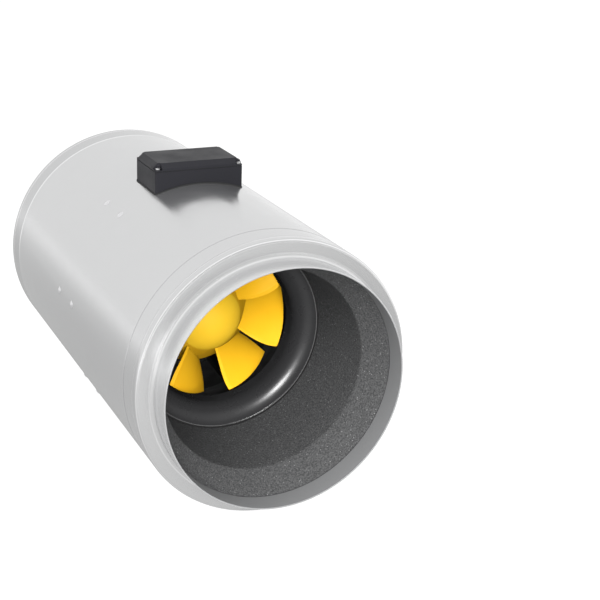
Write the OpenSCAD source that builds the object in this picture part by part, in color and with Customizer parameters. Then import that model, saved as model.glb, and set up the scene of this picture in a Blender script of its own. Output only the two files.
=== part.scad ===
// Inline duct fan: a round foam-lined casing with a spigot at each end, a bell mouth,
// a mixed-flow impeller on an external-rotor motor, guide vanes and a terminal box on top.
// The fan axis is Y, the inlet faces -Y and the terminal box stands on +Z.
// The origin is on the axis, in the plane of the inlet mouth.

/* [Duct connection] */
// Outside diameter of both spigots
spigot_d = 249; // [225:0.5:275]
// Length of a spigot, from its mouth to the end face
spigot_len = 30.5; // [28:0.5:40]
// Sheet thickness of the end caps
cap_t = 1.5; // [1:0.1:2]
// Height of the raised band at the foot of a spigot
band_h = 6.5; // [4:0.5:8]
// Length of the raised band
band_len = 9.5; // [7:0.5:12]
// Length of the smooth step up to the band
band_ramp = 5; // [4:0.5:7]
// Amount by which the band falls towards the end face
band_taper = 1.8; // [0.5:0.1:2.5]

/* [Casing] */
// Radial step from a spigot to the casing
shoulder = 18; // [16:0.5:22]
// Length of the fan from mouth to mouth
total_len = 540; // [510:5:600]
// Sheet thickness of the casing
casing_t = 1.2; // [0.8:0.1:1.6]
// Radius of the corner between the end face and the casing
corner_r = 4; // [2:0.5:6]
// Length of the cap's rim, from the end face to the casing's edge
rim_len = 9.5; // [8:0.5:14]
// Length of the cap's collar inside the casing
collar_len = 24; // [16:1:30]
// Width of the swaged groove behind each collar
groove_w = 3; // [2:0.1:4]
// Depth of the swaged groove
groove_depth = 0.6; // [0.3:0.05:0.7]

/* [Foam lining] */
// Thickness of the foam
foam_t = 33; // [30:0.5:34]
// Length of the tapered foam mouth
foam_taper = 29; // [20:1:40]
// Distance by which the foam reaches into the spigot's band
foam_nose = 4.5; // [3:0.5:6]

/* [Bell mouth] */
// Wall thickness of the bell mouth
bell_t = 2.5; // [2:0.1:3]
// Width of the flat rim round the bell mouth
bell_rim = 3.6; // [3:0.1:4.5]
// Radius of the bead between the bell mouth's lip and its rim
bead_r = 0.8; // [0.5:0.1:1]
// Length of the straight throat
throat_len = 13; // [10:0.5:18]
// Thickness of the flange that joins bell mouth and fan housing
flange_t = 3.5; // [3:0.1:4.5]
// Radial width of that flange
flange_w = 18; // [15:0.5:20]
// Number of screws in the flange
flange_screws = 6; // [4:1:8]

/* [Impeller] */
// Number of impeller blades
blade_count = 7; // [5:1:9]
// Radius of the blade tips at the inlet side
tip_r_in = 81.8; // [79:0.2:84]
// Radius of the blade tips at the outlet side
tip_r_out = 95; // [92:0.2:97]
// Length of a blade along the axis, at its tip
tip_depth = 37; // [34:0.5:40]
// Radius of the hub at the inlet side
hub_r_in = 37.2; // [36:0.2:39]
// Radius of the hub at the outlet side
hub_r_out = 63.5; // [61:0.5:65]
// Length of the hub along the axis
hub_depth = 37.4; // [36:0.2:40]
// Distance by which a leading edge lies further back at the hub than at the tip
lead_sweep = 18.4; // [15:0.2:21]
// Forward bow of a leading edge, between hub and tip
lead_bow = 4.6; // [3:0.1:6]
// Wall thickness of the hub
hub_t = 2.5; // [2:0.1:3]
// Thickness of a blade
blade_t = 1.4; // [1.2:0.1:2.4]
// Radius of a blade's curve
blade_bend_r = 78.5; // [70:0.5:90]
// Angle of a blade across the flow, at mid span
blade_pitch = 47.7; // [44:0.1:51]
// Sideways lean of a blade
blade_lean = 32.7; // [28:0.1:36]
// Backward rake of a blade
blade_rake = 7.6; // [4:0.1:10]
// Running clearance at the blade tips
tip_clear = 1.2; // [0.8:0.1:2]
// Distance of the leading blade tips ahead of the middle of the fan
impeller_lead = 81.8; // [80:0.2:84]
// Length of the hub ahead of the blade roots, up to the dome
hub_lip = 2.4; // [1.5:0.1:4]
// Height of the dome
dome_h = 15.5; // [13:0.1:18]
// Wall thickness of the dome
dome_t = 2; // [1.5:0.1:2.5]
// Turn of the first blade about the axis
blade_phase = 42.2; // [0:0.1:51.4]

/* [Guide vanes and fan housing] */
// Number of guide vanes
vane_count = 8; // [6:1:10]
// Thickness of a guide vane
vane_t = 3; // [2:0.1:4]
// Length of the guide vanes along the axis
vane_len = 52; // [46:1:56]
// Angle through which a vane turns the air
vane_turn = 50; // [40:1:56]
// Wall thickness of the housing and its drum
housing_t = 3; // [2.5:0.1:3.5]
// Outside radius of the drum between the vanes
drum_r = 64; // [62:0.5:66]
// Distance from the impeller's hub to the drum
drum_gap = 3; // [2:0.1:4]
// Length of the drum
drum_len = 61; // [58:1:66]
// Length of the tail cone
tail_len = 70; // [60:1:74]
// Wall thickness of the tail cone
tail_t = 2.5; // [2:0.1:3]
// Radius of the flat end of the tail cone
tail_end_r = 18; // [14:1:24]

/* [Holding brackets] */
// Number of brackets that hold the fan housing
bracket_count = 8; // [6:1:9]
// Turn of the first bracket from the top
bracket_phase = 8; // [6:0.5:10]
// Width of a bracket's back
bracket_w = 20; // [16:1:24]
// Width of a bracket's foot
bracket_foot = 9; // [8:0.5:11]
// Sheet thickness of a bracket
bracket_t = 1.5; // [1:0.1:2]
// Length of a bracket
bracket_len = 66; // [60:1:72]
// Distance between the two rivets of a bracket
rivet_gap = 47; // [40:1:52]
// Diameter of a rivet's shank
rivet_d = 4; // [3:0.1:5]
// Diameter of a rivet's head
rivet_head_d = 8; // [7:0.1:9]
// Height of a rivet's head
rivet_head_h = 1.5; // [1:0.1:2]

/* [Motor] */
// Diameter of the shaft
shaft_d = 8; // [7:0.1:9]
// Outside diameter of a bearing
bearing_d = 22; // [20:0.5:24]
// Width of a bearing
bearing_w = 7; // [6:0.5:8]
// Wall of the bearing tube
tube_t = 3; // [2.5:0.1:4]
// Radius of the stator core
core_r = 37.9; // [36:0.1:38.5]
// Length of the stator core
core_len = 26; // [22:0.5:28]
// Length of a winding head
winding_len = 5.5; // [4:0.5:6]
// Number of stator slots
slot_count = 12; // [9:3:15]
// Air gap between stator and magnets
air_gap = 0.6; // [0.5:0.1:1]
// Thickness of the magnet ring
magnet_t = 2.9; // [2:0.1:3]
// Wall of the rotor can
can_t = 2.5; // [2:0.1:3]
// Thickness of the motor flange
motor_flange_t = 4; // [3:0.5:5]
// Radius of the motor flange
motor_flange_r = 50; // [48:0.5:54]
// Thickness of the plate in the drum that carries the motor
plate_t = 4; // [3:0.5:5]

/* [Terminal box] */
// Width of the box, across the casing
box_w = 99; // [92:1:108]
// Depth of the box, along the casing
box_d = 63; // [58:1:70]
// Height of the box's side at a corner, up to the lid
box_h = 24.5; // [24:0.5:32]
// Height of the lid
lid_h = 7.8; // [7:0.1:10]
// Wall of the box
box_t = 2.5; // [2:0.1:3]
// Radius of the box's upright edges
box_edge_r = 2; // [1:0.5:4]
// Chamfer along the lid's top edges
lid_chamfer = 5; // [3:0.1:5.5]
// Inner radius of the corner notch over each lid screw
notch_r = 3.2; // [2.9:0.1:3.6]
// Thickness of the ledge under each lid screw
ledge_t = 1.2; // [1:0.1:2]
// Thickness of the seal between lid and box
gasket_t = 0.8; // [0.5:0.1:1.5]
// Thickness of the seal between box and casing
saddle_t = 1.5; // [1:0.1:2]
// Width of the seal between box and casing
saddle_w = 5; // [4:0.5:6]
// Distance by which the seal shows round the foot of the box
saddle_lip = 0.6; // [0.3:0.1:1]

/* [Cable entry and lead] */
// Thread diameter of the cable gland
gland_d = 12; // [11:0.5:12.5]
// Diameter of the cable that the gland takes
gland_bore_d = 6.5; // [5:0.5:7]
// Length of the gland outside the box
gland_len = 14; // [13:0.5:16]
// Diameter of the motor lead
lead_d = 7; // [6.8:0.1:8]
// Diameter of a core of the lead
core_wire_d = 2; // [1.5:0.1:2.1]
// Distance of the lead's hole from the side of the terminal box
lead_inset = 18.7; // [16:0.1:20]

/* [Hidden] */
$fn = 96;
// General clearances and small hardware sizes
fit = 0.1;
press = 0.02;
running = 0.04;
foam_gap = 0.2;
screw_r = 2;
screw_head_r = 3.6;
screw_head_h = 2.4;
screw_len = 10;
screw_wall = 2;
screw_slot_w = 0.9;
screw_slot_d = 0.8;
eps = 0.01;
over = 1;
far = 400;

// Stations along the axis and radii of the casing group
mid = total_len / 2;
spigot_r = spigot_d / 2;
casing_r = spigot_r + shoulder;
casing_in = casing_r - casing_t;
z_band = spigot_len - band_len;
z_ramp = z_band - band_ramp;
z_rim = spigot_len + rim_len;
z_collar = z_rim + collar_len;
collar_r = casing_in - fit;
foam_r = collar_r - cap_t - foam_gap;
bore_r = foam_r - foam_t;
foam_front = spigot_len - foam_nose;
foam_back = spigot_len + cap_t + foam_gap;
nose_r = spigot_r + band_h - band_taper - cap_t - foam_gap;

// The sizes of bell mouth, impeller, motor and fan housing are given for this bore,
// and the whole fan unit is scaled about the middle of the fan to the bore of the foam
unit_bore_r = 106.5;
unit_k = bore_r / unit_bore_r;

// Stations and radii of the impeller and its shroud
joint_lead = 1.7;
blade_mid_r = 70;
blade_mid_z = 18;
lead_root = 2.8;
trail_root = 1;
shroud_past_tip = 2;
housing_past_vane = 4;
housing_past_drum = 4;
vane_seat = 1.5;
tail_plug = 6;
flange_screw_in = 6;
z_tip_in = mid - impeller_lead;
z_tip_out = z_tip_in + tip_depth;
z_hub_in = z_tip_in + lead_sweep;
z_hub_out = z_hub_in + hub_depth;
tip_slope = (tip_r_out - tip_r_in) / tip_depth;
hub_slope = (hub_r_out - hub_r_in) / hub_depth;
hub_inset = hub_t * sqrt(1 + hub_slope * hub_slope);
hub_plate_t = 4;
hub_bore = 2;
z_hub_seat = z_hub_in + hub_plate_t;
z_dome = z_hub_in - hub_lip;
dome_r = hub_at(z_dome);
dome_ball_r = (dome_r * dome_r + dome_h * dome_h) / (2 * dome_h);
shroud_clear = tip_clear * sqrt(1 + tip_slope * tip_slope);
z_joint = z_tip_in - joint_lead;
throat_r = shroud_at(z_joint);
housing_out = unit_bore_r - foam_gap;
housing_in = housing_out - housing_t;
z_drum = z_hub_out + drum_gap;
z_drum_end = z_drum + drum_len;
z_vane = z_drum_end - housing_past_vane - vane_len;
z_housing_end = z_drum_end + housing_past_drum;
vane_bend_r = vane_len / sin(vane_turn);
bell_out = unit_bore_r - foam_gap;
bell_lip_r = bell_out - bell_rim;
bell_r = bell_lip_r - throat_r;
z_bell = z_joint - throat_len - bell_r;
flange_r = throat_r + bell_t + flange_w;
flange_screw_r = flange_r - flange_screw_in;

// Stations and radii of the motor
shaft_r = shaft_d / 2;
bearing_r = bearing_d / 2;
tube_r = bearing_r + press + tube_t;
magnet_in = core_r + air_gap;
magnet_out = magnet_in + magnet_t;
can_in = magnet_out + press;
can_r = can_in + can_t;
nose_boss_r = 28;
nose_screw_in = 9;
nose_face = 2;
can_gap = 2.4;
winding_gap = 0.5;
winding_in = 3;
can_skirt = 2;
flange_gap = 2;
shaft_tail = 6;
groove_in = 0.6;
magnet_over = 1;
z_can_plate = z_hub_in + (can_r + fit + hub_inset - hub_r_in) / hub_slope;
z_tube = z_can_plate + can_t + can_gap;
z_core = z_tube + winding_len + winding_gap;
z_can_end = z_core + core_len + winding_len + can_skirt;
z_flange = z_can_end + flange_gap;
z_plate = z_flange + motor_flange_t;
z_shaft_end = z_plate + shaft_tail;
clip_t = 1.2;
clip_r = 7;
clip_mouth = 2.8;
plate_hole_r = 20;
motor_screw_in = 8;
motor_screw_r = motor_flange_r - motor_screw_in;
lead_r = lead_d / 2;
lead_start_r = 15;
lead_back = 15;
lead_tail = 4;
wire_share = 0.65;
wire_pitch = lead_r * wire_share;
wire_spread = 4;
wire_drop = 5;
wire_gap = 0.7;
z_lead = mid + lead_back;
lead_turn = -asin((box_w / 2 - lead_inset) / casing_r);
conduit_wall = 2.5;
conduit_end = 1;
conduit_r = lead_r + conduit_wall;

// Brackets
bracket_top = sqrt(casing_in * casing_in - bracket_w * bracket_w / 4) - fit;
bracket_seat_x = bracket_w / 2 - bracket_t;
bracket_base = sqrt(pow(unit_k * housing_out, 2) - bracket_seat_x * bracket_seat_x) + fit;
bracket_screw_x = bracket_w / 2 + bracket_foot / 2;
bracket_screw_lead = 15;
bracket_screw_z = mid - bracket_screw_lead;
slot_side = 1;
slot_w = bracket_w + 2 * bracket_foot + 2 * slot_side;
foam_end_gap = 1;
foam_half = bracket_len / 2 + foam_end_gap;
bulb_h = 2.2;
bulb_lip = 1;
bracket_pitch = 360 / bracket_count;

// Terminal box
box_corner_z = sqrt(casing_r * casing_r - box_w * box_w / 4);
seam_z = box_corner_z + box_h;
lid_z = seam_z + gasket_t;
lid_top = lid_z + lid_h;
floor_r = casing_r + saddle_t;
floor_top_r = floor_r + box_t;
post_in = 4.3;
ledge_wall = 2;
post_r = 4.6;
lid_screw_r = 1.6;
lid_head_r = 2.6;
lid_head_h = 2;
lid_screw_grip = 10;
post_hole = 14;
gasket_in = 0.8;
box_screw_y = 20;
box_screw_tail = 1.5;
rivet_room_r = 1.5;
rivet_room_h = 8;
gland_r = gland_d / 2;
gland_hex_r = gland_r + 3.5;
gland_back = 12;
gland_y = mid + gland_back;
locknut_t = 4;
locknut_x = box_w / 2 - box_t - locknut_t;
locknut_floor = sqrt(floor_top_r * floor_top_r - locknut_x * locknut_x);
locknut_gap = 0.6;
gland_z = locknut_floor + gland_hex_r * cos(30) + locknut_gap;
collar_hex_t = 4;
thread_in = 0.5;
thread_past = 5;
thread_short = 4.5;
nut_gap = 0.3;
nut_grip = 5;
nut_lip = 1.5;
nut_neck = 0.6;
seal_wall = 1;
seal_start = 1;
seal_short = 4.2;
seal_r = gland_bore_d / 2 + seal_wall;
block_w = 44;
block_d = 16;
block_h = 13;
block_x = 14;
block_rise = 2;
block_foot_w = 16;
block_foot_d = 8;
block_z = floor_top_r + block_rise;
pole_count = 4;
pole_pitch = block_w / pole_count;
pole_hole_r = 2.2;
pole_hole_d = 5;
pole_screw_r = 2.1;
pole_screw_h = 2.5;
pole_screw_deep = 4.9;
pole_slot_w = 1.2;
pole_slot_d = 2.5;
grommet_wall = 3;
grommet_r = lead_r + grommet_wall;
grommet_lip = 2.2;
grommet_lip_t = 1.6;

// Inside radius of the shroud at a station along the axis
function shroud_at(z) = tip_r_in + (z - z_tip_in) * tip_slope + shroud_clear;

// Outside radius of the impeller hub at a station along the axis
function hub_at(z) = hub_r_in + (z - z_hub_in) * hub_slope;

// Points of an arc about a centre, from one angle to another
function arc(c, r, from, to, steps = 10) =
    [for (i = [0:steps]) let (a = from + (to - from) * i / steps) c + r * [cos(a), sin(a)]];

// Points of a smooth step in radius, from one point to another
function smooth_step(p, q, steps = 12) =
    [for (i = [0:steps]) let (t = i / steps)
        [p[0] + (q[0] - p[0]) * (1 - cos(180 * t)) / 2, p[1] + (q[1] - p[1]) * t]];

// Place along the axis of a station of the fan unit
function unit_at(z) = mid + (z - mid) * unit_k;

function reversed(list) = [for (i = [len(list) - 1:-1:0]) list[i]];

// Turns a shape drawn about Z so that it lies along the fan axis, with -Y upwards
module on_axis() {
    rotate([-90, 0, 0]) children();
}

// Lays the fan unit along the axis, scaled about the middle of the fan
module in_unit() {
    translate([0, mid, 0]) scale(unit_k) translate([0, -mid, 0]) on_axis() children();
}

// Mirrors a shape from the inlet end to the outlet end
module at_outlet() {
    translate([0, total_len, 0]) mirror([0, 1, 0]) children();
}

// Stands a shape on a radius, at a turn from the top and a station along the axis
module radial(turn, z) {
    rotate([0, 0, turn]) translate([0, 0, z]) rotate([90, 0, 0]) children();
}

// A ring about Z, between two radii and two stations
module ring(r_out, r_in, z0, z1) {
    translate([0, 0, z0]) difference() {
        cylinder(r = r_out, h = z1 - z0);
        translate([0, 0, -over]) cylinder(r = r_in, h = z1 - z0 + 2 * over);
    }
}

// A round rod between two points
module rod(p, q, r) {
    v = q - p;
    length = norm(v);
    turn = atan2(v[1], v[0]);
    tilt = acos(v[2] / length);
    translate(p) rotate([0, tilt, turn]) cylinder(r = r, h = length, $fn = 24);
}

// A rectangle with rounded corners
module rounded_rect(w, d, r) {
    corners = [[w / 2 - r, d / 2 - r], [r - w / 2, d / 2 - r],
               [r - w / 2, r - d / 2], [w / 2 - r, r - d / 2]];
    polygon([for (i = [0:3]) each arc(corners[i], r, 90 * i, 90 * i + 90, 6)]);
}

// A shallow round head that stands on z = 0
module domed_head(r, h) {
    ball = (r * r + h * h) / (2 * h);
    intersection() {
        translate([0, 0, h - ball]) sphere(r = ball);
        cylinder(r = r + over, h = h + over);
    }
}

// A pan-head screw along Z, whose head stands on z = 0 and whose shank points down
module pan_screw(r, head_r, head_h, length) {
    difference() {
        union() {
            cylinder(r = head_r, h = head_h);
            translate([0, 0, -length]) cylinder(r = r, h = length + eps);
        }
        translate([0, 0, head_h])
            cube([2 * (head_r + over), screw_slot_w, 2 * screw_slot_d], center = true);
    }
}

// Profile of an end cap: spigot, raised band, end face, rounded rim and inner collar
module cap_profile() {
    band_r = spigot_r + band_h;
    foot_r = band_r - band_taper;
    step_out = smooth_step([spigot_r, z_ramp], [band_r, z_band]);
    step_in = smooth_step([spigot_r - cap_t, z_ramp + cap_t / 2],
                          [band_r - cap_t, z_band + cap_t / 2]);
    corner = arc([casing_r - corner_r, spigot_len + corner_r], corner_r, -90, 0);
    polygon(concat(
        [[spigot_r - cap_t, 0], [spigot_r, 0]],
        step_out,
        [[foot_r, spigot_len]],
        corner,
        [[casing_r, z_rim], [collar_r, z_rim], [collar_r, z_collar], [collar_r - cap_t, z_collar],
         [collar_r - cap_t, spigot_len + cap_t], [foot_r - cap_t, spigot_len + cap_t]],
        reversed(step_in)));
}

module end_cap() {
    on_axis() rotate_extrude() cap_profile();
}

module inlet_cap() {
    color("silver") end_cap();
}

module outlet_cap() {
    color("silver") at_outlet() end_cap();
}

// Places a shape at every bracket
module each_bracket() {
    for (i = [0:bracket_count - 1]) rotate([0, 0, bracket_phase + i * bracket_pitch]) children();
}

// Places a shape on the radius of every rivet
module each_rivet() {
    for (side = [-1, 1]) each_bracket() radial(0, mid + side * rivet_gap / 2) children();
}

module casing() {
    z_groove = z_collar + groove_w / 2;
    groove_r = (groove_w * groove_w / 4 + groove_depth * groove_depth) / (2 * groove_depth);
    color("gainsboro") on_axis() difference() {
        ring(casing_r, casing_in, z_rim, total_len - z_rim);
        for (z = [z_groove, total_len - z_groove])
            rotate_extrude() translate([casing_r - groove_depth + groove_r, z]) circle(r = groove_r);
        each_rivet() cylinder(d = rivet_d + fit, h = far);
        radial(lead_turn, z_lead) cylinder(r = grommet_r + fit, h = far);
        for (side = [-1, 1])
            radial(0, mid + side * box_screw_y) cylinder(r = screw_r + fit, h = far);
    }
}

// Foam ring of one end, with a nose in the spigot's band and a tapered mouth
module end_foam() {
    z_end = mid - foam_half;
    on_axis() rotate_extrude() polygon([
        [bore_r, foam_front + foam_taper],
        [spigot_r, foam_front],
        [nose_r, foam_front],
        [nose_r, foam_back],
        [foam_r, foam_back],
        [foam_r, z_end],
        [bore_r, z_end]]);
}

module inlet_foam() {
    color("dimgray") end_foam();
}

module outlet_foam() {
    color("dimgray") at_outlet() end_foam();
}

// Foam blocks between the brackets
module middle_foam() {
    color("dimgray") on_axis() difference() {
        ring(casing_in - foam_gap, bore_r, mid - foam_half, mid + foam_half);
        each_bracket() translate([-slot_w / 2, -far, 0]) cube([slot_w, far, total_len]);
        radial(lead_turn, z_lead) cylinder(r = grommet_r + grommet_lip + foam_gap, h = far);
        for (side = [-1, 1])
            radial(0, mid + side * box_screw_y) cylinder(r = screw_r + over, h = far);
    }
}

// Places a shape at every screw of the bell mouth's flange
module each_flange_screw() {
    for (i = [0:flange_screws - 1])
        rotate([0, 0, i * 360 / flange_screws]) translate([0, -flange_screw_r, z_joint]) children();
}

// Rounded inlet lip, a bead, a flat rim, a straight throat and a joining flange
module bell_profile() {
    z_lip = z_bell + bell_r;
    difference() {
        intersection() {
            translate([bell_lip_r, z_lip]) circle(r = bell_r);
            translate([throat_r, z_bell]) square(bell_r);
        }
        translate([bell_lip_r, z_lip]) circle(r = bell_r - bell_t);
    }
    translate([bell_lip_r, z_bell]) square([bell_rim, bell_t]);
    translate([bell_lip_r + bead_r, z_bell]) circle(r = bead_r);
    translate([throat_r, z_lip]) square([bell_t, throat_len]);
    translate([throat_r, z_joint - flange_t]) square([flange_r - throat_r, flange_t]);
}

module bell_mouth() {
    color([0.09, 0.09, 0.1]) in_unit() difference() {
        rotate_extrude() bell_profile();
        each_flange_screw() cylinder(r = screw_r + fit, h = 2 * (flange_t + over), center = true);
    }
}

module bell_screws() {
    color("silver") in_unit() each_flange_screw()
        translate([0, 0, -flange_t]) mirror([0, 0, 1])
            pan_screw(screw_r, screw_head_r, screw_head_h, screw_len);
}

// Places a shape at every guide vane
module each_vane() {
    for (i = [0:vane_count - 1]) rotate([0, 0, lead_turn + (i + 0.5) * 360 / vane_count]) children();
}

// One guide vane, or with some growth its slot: a strip of a radial cylinder that ends
// straight along the axis and is seated in the drum and in the housing
module vane(grow) {
    reach = vane_len + 2 * grow;
    difference() {
        intersection() {
            translate([vane_bend_r, 0, z_vane + vane_len]) rotate([90, 0, 0]) difference() {
                cylinder(r = vane_bend_r + vane_t / 2 + grow, h = housing_out);
                translate([0, 0, -over])
                    cylinder(r = vane_bend_r - vane_t / 2 - grow, h = housing_out + 2 * over);
            }
            translate([-vane_t, -housing_out, z_vane - grow]) cube([vane_bend_r, housing_out, reach]);
            cylinder(r = housing_in + vane_seat + grow, h = total_len);
        }
        cylinder(r = drum_r - vane_seat - grow, h = total_len);
    }
}

module guide_vanes() {
    color([0.13, 0.13, 0.14]) in_unit() each_vane() vane(0);
}

// Shroud round the impeller, with a flange for the bell mouth and slots for the vanes
module stator_housing() {
    z_bend = z_tip_out + shroud_past_tip;
    color([0.12, 0.12, 0.13]) difference() {
        in_unit() difference() {
            union() {
                rotate_extrude() polygon([
                    [shroud_at(z_joint), z_joint],
                    [shroud_at(z_bend), z_bend],
                    [housing_in, z_drum],
                    [housing_in, z_housing_end],
                    [housing_out, z_housing_end],
                    [housing_out, z_drum],
                    [shroud_at(z_bend) + housing_t, z_bend],
                    [shroud_at(z_joint + flange_t) + housing_t, z_joint + flange_t],
                    [flange_r, z_joint + flange_t],
                    [flange_r, z_joint]]);
                each_flange_screw() cylinder(r = screw_r + screw_wall, h = screw_len);
            }
            each_flange_screw() cylinder(r = screw_r + fit, h = 2 * screw_len, center = true);
            each_vane() vane(fit);
        }
        on_axis() {
            radial(lead_turn, z_lead) cylinder(r = conduit_r + fit, h = far);
            each_bracket_screw() mirror([0, 0, 1]) cylinder(r = screw_r + fit, h = screw_len);
        }
    }
}

// Drum between the vanes, with the plate that carries the motor
module motor_drum() {
    color([0.12, 0.12, 0.13]) difference() {
        in_unit() difference() {
            union() {
                ring(drum_r, drum_r - housing_t, z_drum, z_drum_end);
                ring(drum_r - housing_t / 2, plate_hole_r, z_plate, z_plate + plate_t);
            }
            each_motor_screw() cylinder(r = screw_r + fit, h = 2 * (plate_t + over), center = true);
            each_vane() vane(fit);
        }
        on_axis() radial(lead_turn, z_lead) cylinder(r = conduit_r + fit, h = far);
    }
}

// Tube that takes the lead across the air path
module lead_conduit() {
    inner_end = unit_k * (drum_r - housing_t) - conduit_end;
    length = unit_k * housing_out - inner_end;
    color([0.12, 0.12, 0.13]) on_axis() radial(lead_turn, z_lead) translate([0, 0, inner_end])
        difference() {
            cylinder(r = conduit_r, h = length);
            translate([0, 0, -over]) cylinder(r = lead_r + fit, h = length + 2 * over);
        }
}

// Hollow cone behind the drum, with a round taper and a collar that plugs into the drum
module tail_cone() {
    plug_r = drum_r - housing_t - fit;
    rise = drum_r - tail_end_r;
    curve_r = (rise * rise + tail_len * tail_len) / (2 * rise);
    color([0.12, 0.12, 0.13]) in_unit() union() {
        translate([0, 0, z_drum_end]) rotate_extrude() difference() {
            intersection() {
                translate([drum_r - curve_r, 0]) circle(r = curve_r, $fn = 240);
                square([drum_r, tail_len]);
            }
            intersection() {
                translate([drum_r - curve_r, 0]) circle(r = curve_r - tail_t, $fn = 240);
                translate([0, -over]) square([drum_r, tail_len - tail_t + over]);
            }
        }
        ring(plug_r, plug_r - tail_t, z_drum_end - tail_plug, z_drum_end + tail_t / 2);
        ring(drum_r - tail_t / 2, plug_r - tail_t, z_drum_end, z_drum_end + tail_t);
    }
}

// Hat-shaped sheet bracket from the fan housing to the casing
module brackets() {
    x_web = bracket_w / 2;
    x_foot = x_web + bracket_foot;
    color("silver") on_axis() difference() {
        each_bracket() translate([0, 0, mid - bracket_len / 2]) linear_extrude(bracket_len)
            mirror([0, 1]) polygon([
                [-x_foot, bracket_base], [bracket_t - x_web, bracket_base],
                [bracket_t - x_web, bracket_top - bracket_t],
                [x_web - bracket_t, bracket_top - bracket_t],
                [x_web - bracket_t, bracket_base], [x_foot, bracket_base],
                [x_foot, bracket_base + bracket_t], [x_web, bracket_base + bracket_t],
                [x_web, bracket_top], [-x_web, bracket_top],
                [-x_web, bracket_base + bracket_t], [-x_foot, bracket_base + bracket_t]]);
        each_rivet() cylinder(d = rivet_d + fit, h = far);
        each_bracket_screw() cylinder(r = screw_r + fit, h = 4 * bracket_t, center = true);
    }
}

// Places a shape on the outer face of every bracket foot
module each_bracket_screw() {
    each_bracket() for (side = [-1, 1])
        translate([side * bracket_screw_x, -bracket_base - bracket_t, bracket_screw_z])
            rotate([90, 0, 0]) children();
}

module bracket_screws() {
    color("silver") on_axis() each_bracket_screw()
        pan_screw(screw_r, screw_head_r, screw_head_h, bracket_t + housing_t);
}

module bracket_rivets() {
    color("whitesmoke") on_axis() each_rivet() union() {
        translate([0, 0, casing_r]) domed_head(rivet_head_d / 2, rivet_head_h);
        translate([0, 0, bracket_top - bracket_t - bulb_h])
            cylinder(d = rivet_d, h = casing_r - bracket_top + bracket_t + bulb_h + eps);
        translate([0, 0, bracket_top - bracket_t - bulb_h])
            cylinder(d = rivet_d + 2 * bulb_lip, h = bulb_h);
    }
}

// Places a shape at every screw of the motor flange, on the plate's rear face
module each_motor_screw() {
    for (i = [0:3])
        rotate([0, 0, 45 + 90 * i]) translate([0, -motor_screw_r, z_plate + plate_t]) children();
}

// Flange with the bearing tube that carries the stator
module motor_flange() {
    hole = plate_t + motor_flange_t + over;
    color("lightgray") in_unit() difference() {
        union() {
            translate([0, 0, z_flange]) cylinder(r = motor_flange_r, h = motor_flange_t);
            translate([0, 0, z_tube]) cylinder(r = tube_r, h = z_flange - z_tube + over);
        }
        translate([0, 0, z_tube - over])
            cylinder(r = bearing_r + press, h = z_plate - z_tube + 2 * over);
        each_motor_screw() cylinder(r = screw_r + fit, h = 2 * hole, center = true);
    }
}

module motor_screws() {
    color("silver") in_unit() each_motor_screw()
        pan_screw(screw_r, screw_head_r, screw_head_h, plate_t + motor_flange_t / 2);
}

// Lamination stack with a round slot between each pair of teeth
module stator_core() {
    slot_share = 0.11;
    slot_r = core_r * slot_share;
    color("slategray") in_unit() difference() {
        ring(core_r, tube_r + press, z_core, z_core + core_len);
        for (i = [0:slot_count - 1]) rotate([0, 0, i * 360 / slot_count])
            translate([0, core_r - 2 * slot_r, 0]) cylinder(r = slot_r, h = total_len);
    }
}

// Winding heads at both ends of the stack
module windings() {
    color("peru") in_unit() for (z = [z_core - winding_len, z_core + core_len])
        ring(core_r - winding_in, tube_r + winding_in, z, z + winding_len);
}

module bearing(z) {
    race_share = 0.3;
    race = (bearing_r - shaft_r) * race_share;
    shield = z + bearing_w - groove_in;
    color("lightsteelblue") in_unit() difference() {
        ring(bearing_r, shaft_r + running, z, z + bearing_w);
        ring(bearing_r - race, shaft_r + race, z - over, z + groove_in);
        ring(bearing_r - race, shaft_r + race, shield, z + bearing_w + over);
    }
}

module front_bearing() {
    bearing(z_tube);
}

module rear_bearing() {
    bearing(z_plate - bearing_w);
}

// Steel can round the stator, with the boss that carries the impeller
module rotor_can() {
    color("darkgray") in_unit() difference() {
        union() {
            translate([0, 0, z_hub_seat])
                cylinder(r = nose_boss_r, h = z_can_plate - z_hub_seat + can_t / 2);
            translate([0, 0, z_can_plate]) cylinder(r = can_r, h = z_can_end - z_can_plate);
        }
        translate([0, 0, z_can_plate + can_t]) cylinder(r = can_in, h = total_len);
        translate([0, 0, z_hub_seat + nose_face]) cylinder(r = shaft_r + press, h = total_len);
        each_impeller_screw() cylinder(r = screw_r + fit, h = 2 * (screw_len + hub_lip), center = true);
    }
}

module rotor_magnets() {
    color("dimgray") in_unit()
        ring(magnet_out, magnet_in, z_core - magnet_over, z_core + core_len + magnet_over);
}

module shaft() {
    z_nose = z_hub_seat + nose_face;
    z_groove = z_plate + groove_in;
    color("silver") in_unit() difference() {
        translate([0, 0, z_nose]) cylinder(r = shaft_r, h = z_shaft_end - z_nose);
        ring(shaft_r + over, shaft_r - groove_in, z_groove, z_groove + clip_t + fit);
    }
}

// Retaining ring that holds the rotor against the rear bearing
module shaft_clip() {
    z_clip = z_plate + groove_in + fit / 2;
    color("slategray") in_unit() difference() {
        ring(clip_r, shaft_r - groove_in + press, z_clip, z_clip + clip_t);
        translate([-clip_mouth / 2, 0, z_clip - over])
            cube([clip_mouth, clip_r + over, clip_t + 2 * over]);
    }
}

// Curved sheet of one blade, a strip of a leaning cylinder
module blade_sheet() {
    length = 3 * blade_mid_r;
    translate([0, -blade_mid_r, z_tip_in + blade_mid_z]) rotate([0, 0, -blade_lean])
        rotate([90 - blade_rake, 0, 0])
            translate([blade_bend_r * cos(blade_pitch), blade_bend_r * sin(blade_pitch), 0])
                ring(blade_bend_r + blade_t / 2, blade_bend_r - blade_t / 2, -length / 2, length / 2);
}

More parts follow.
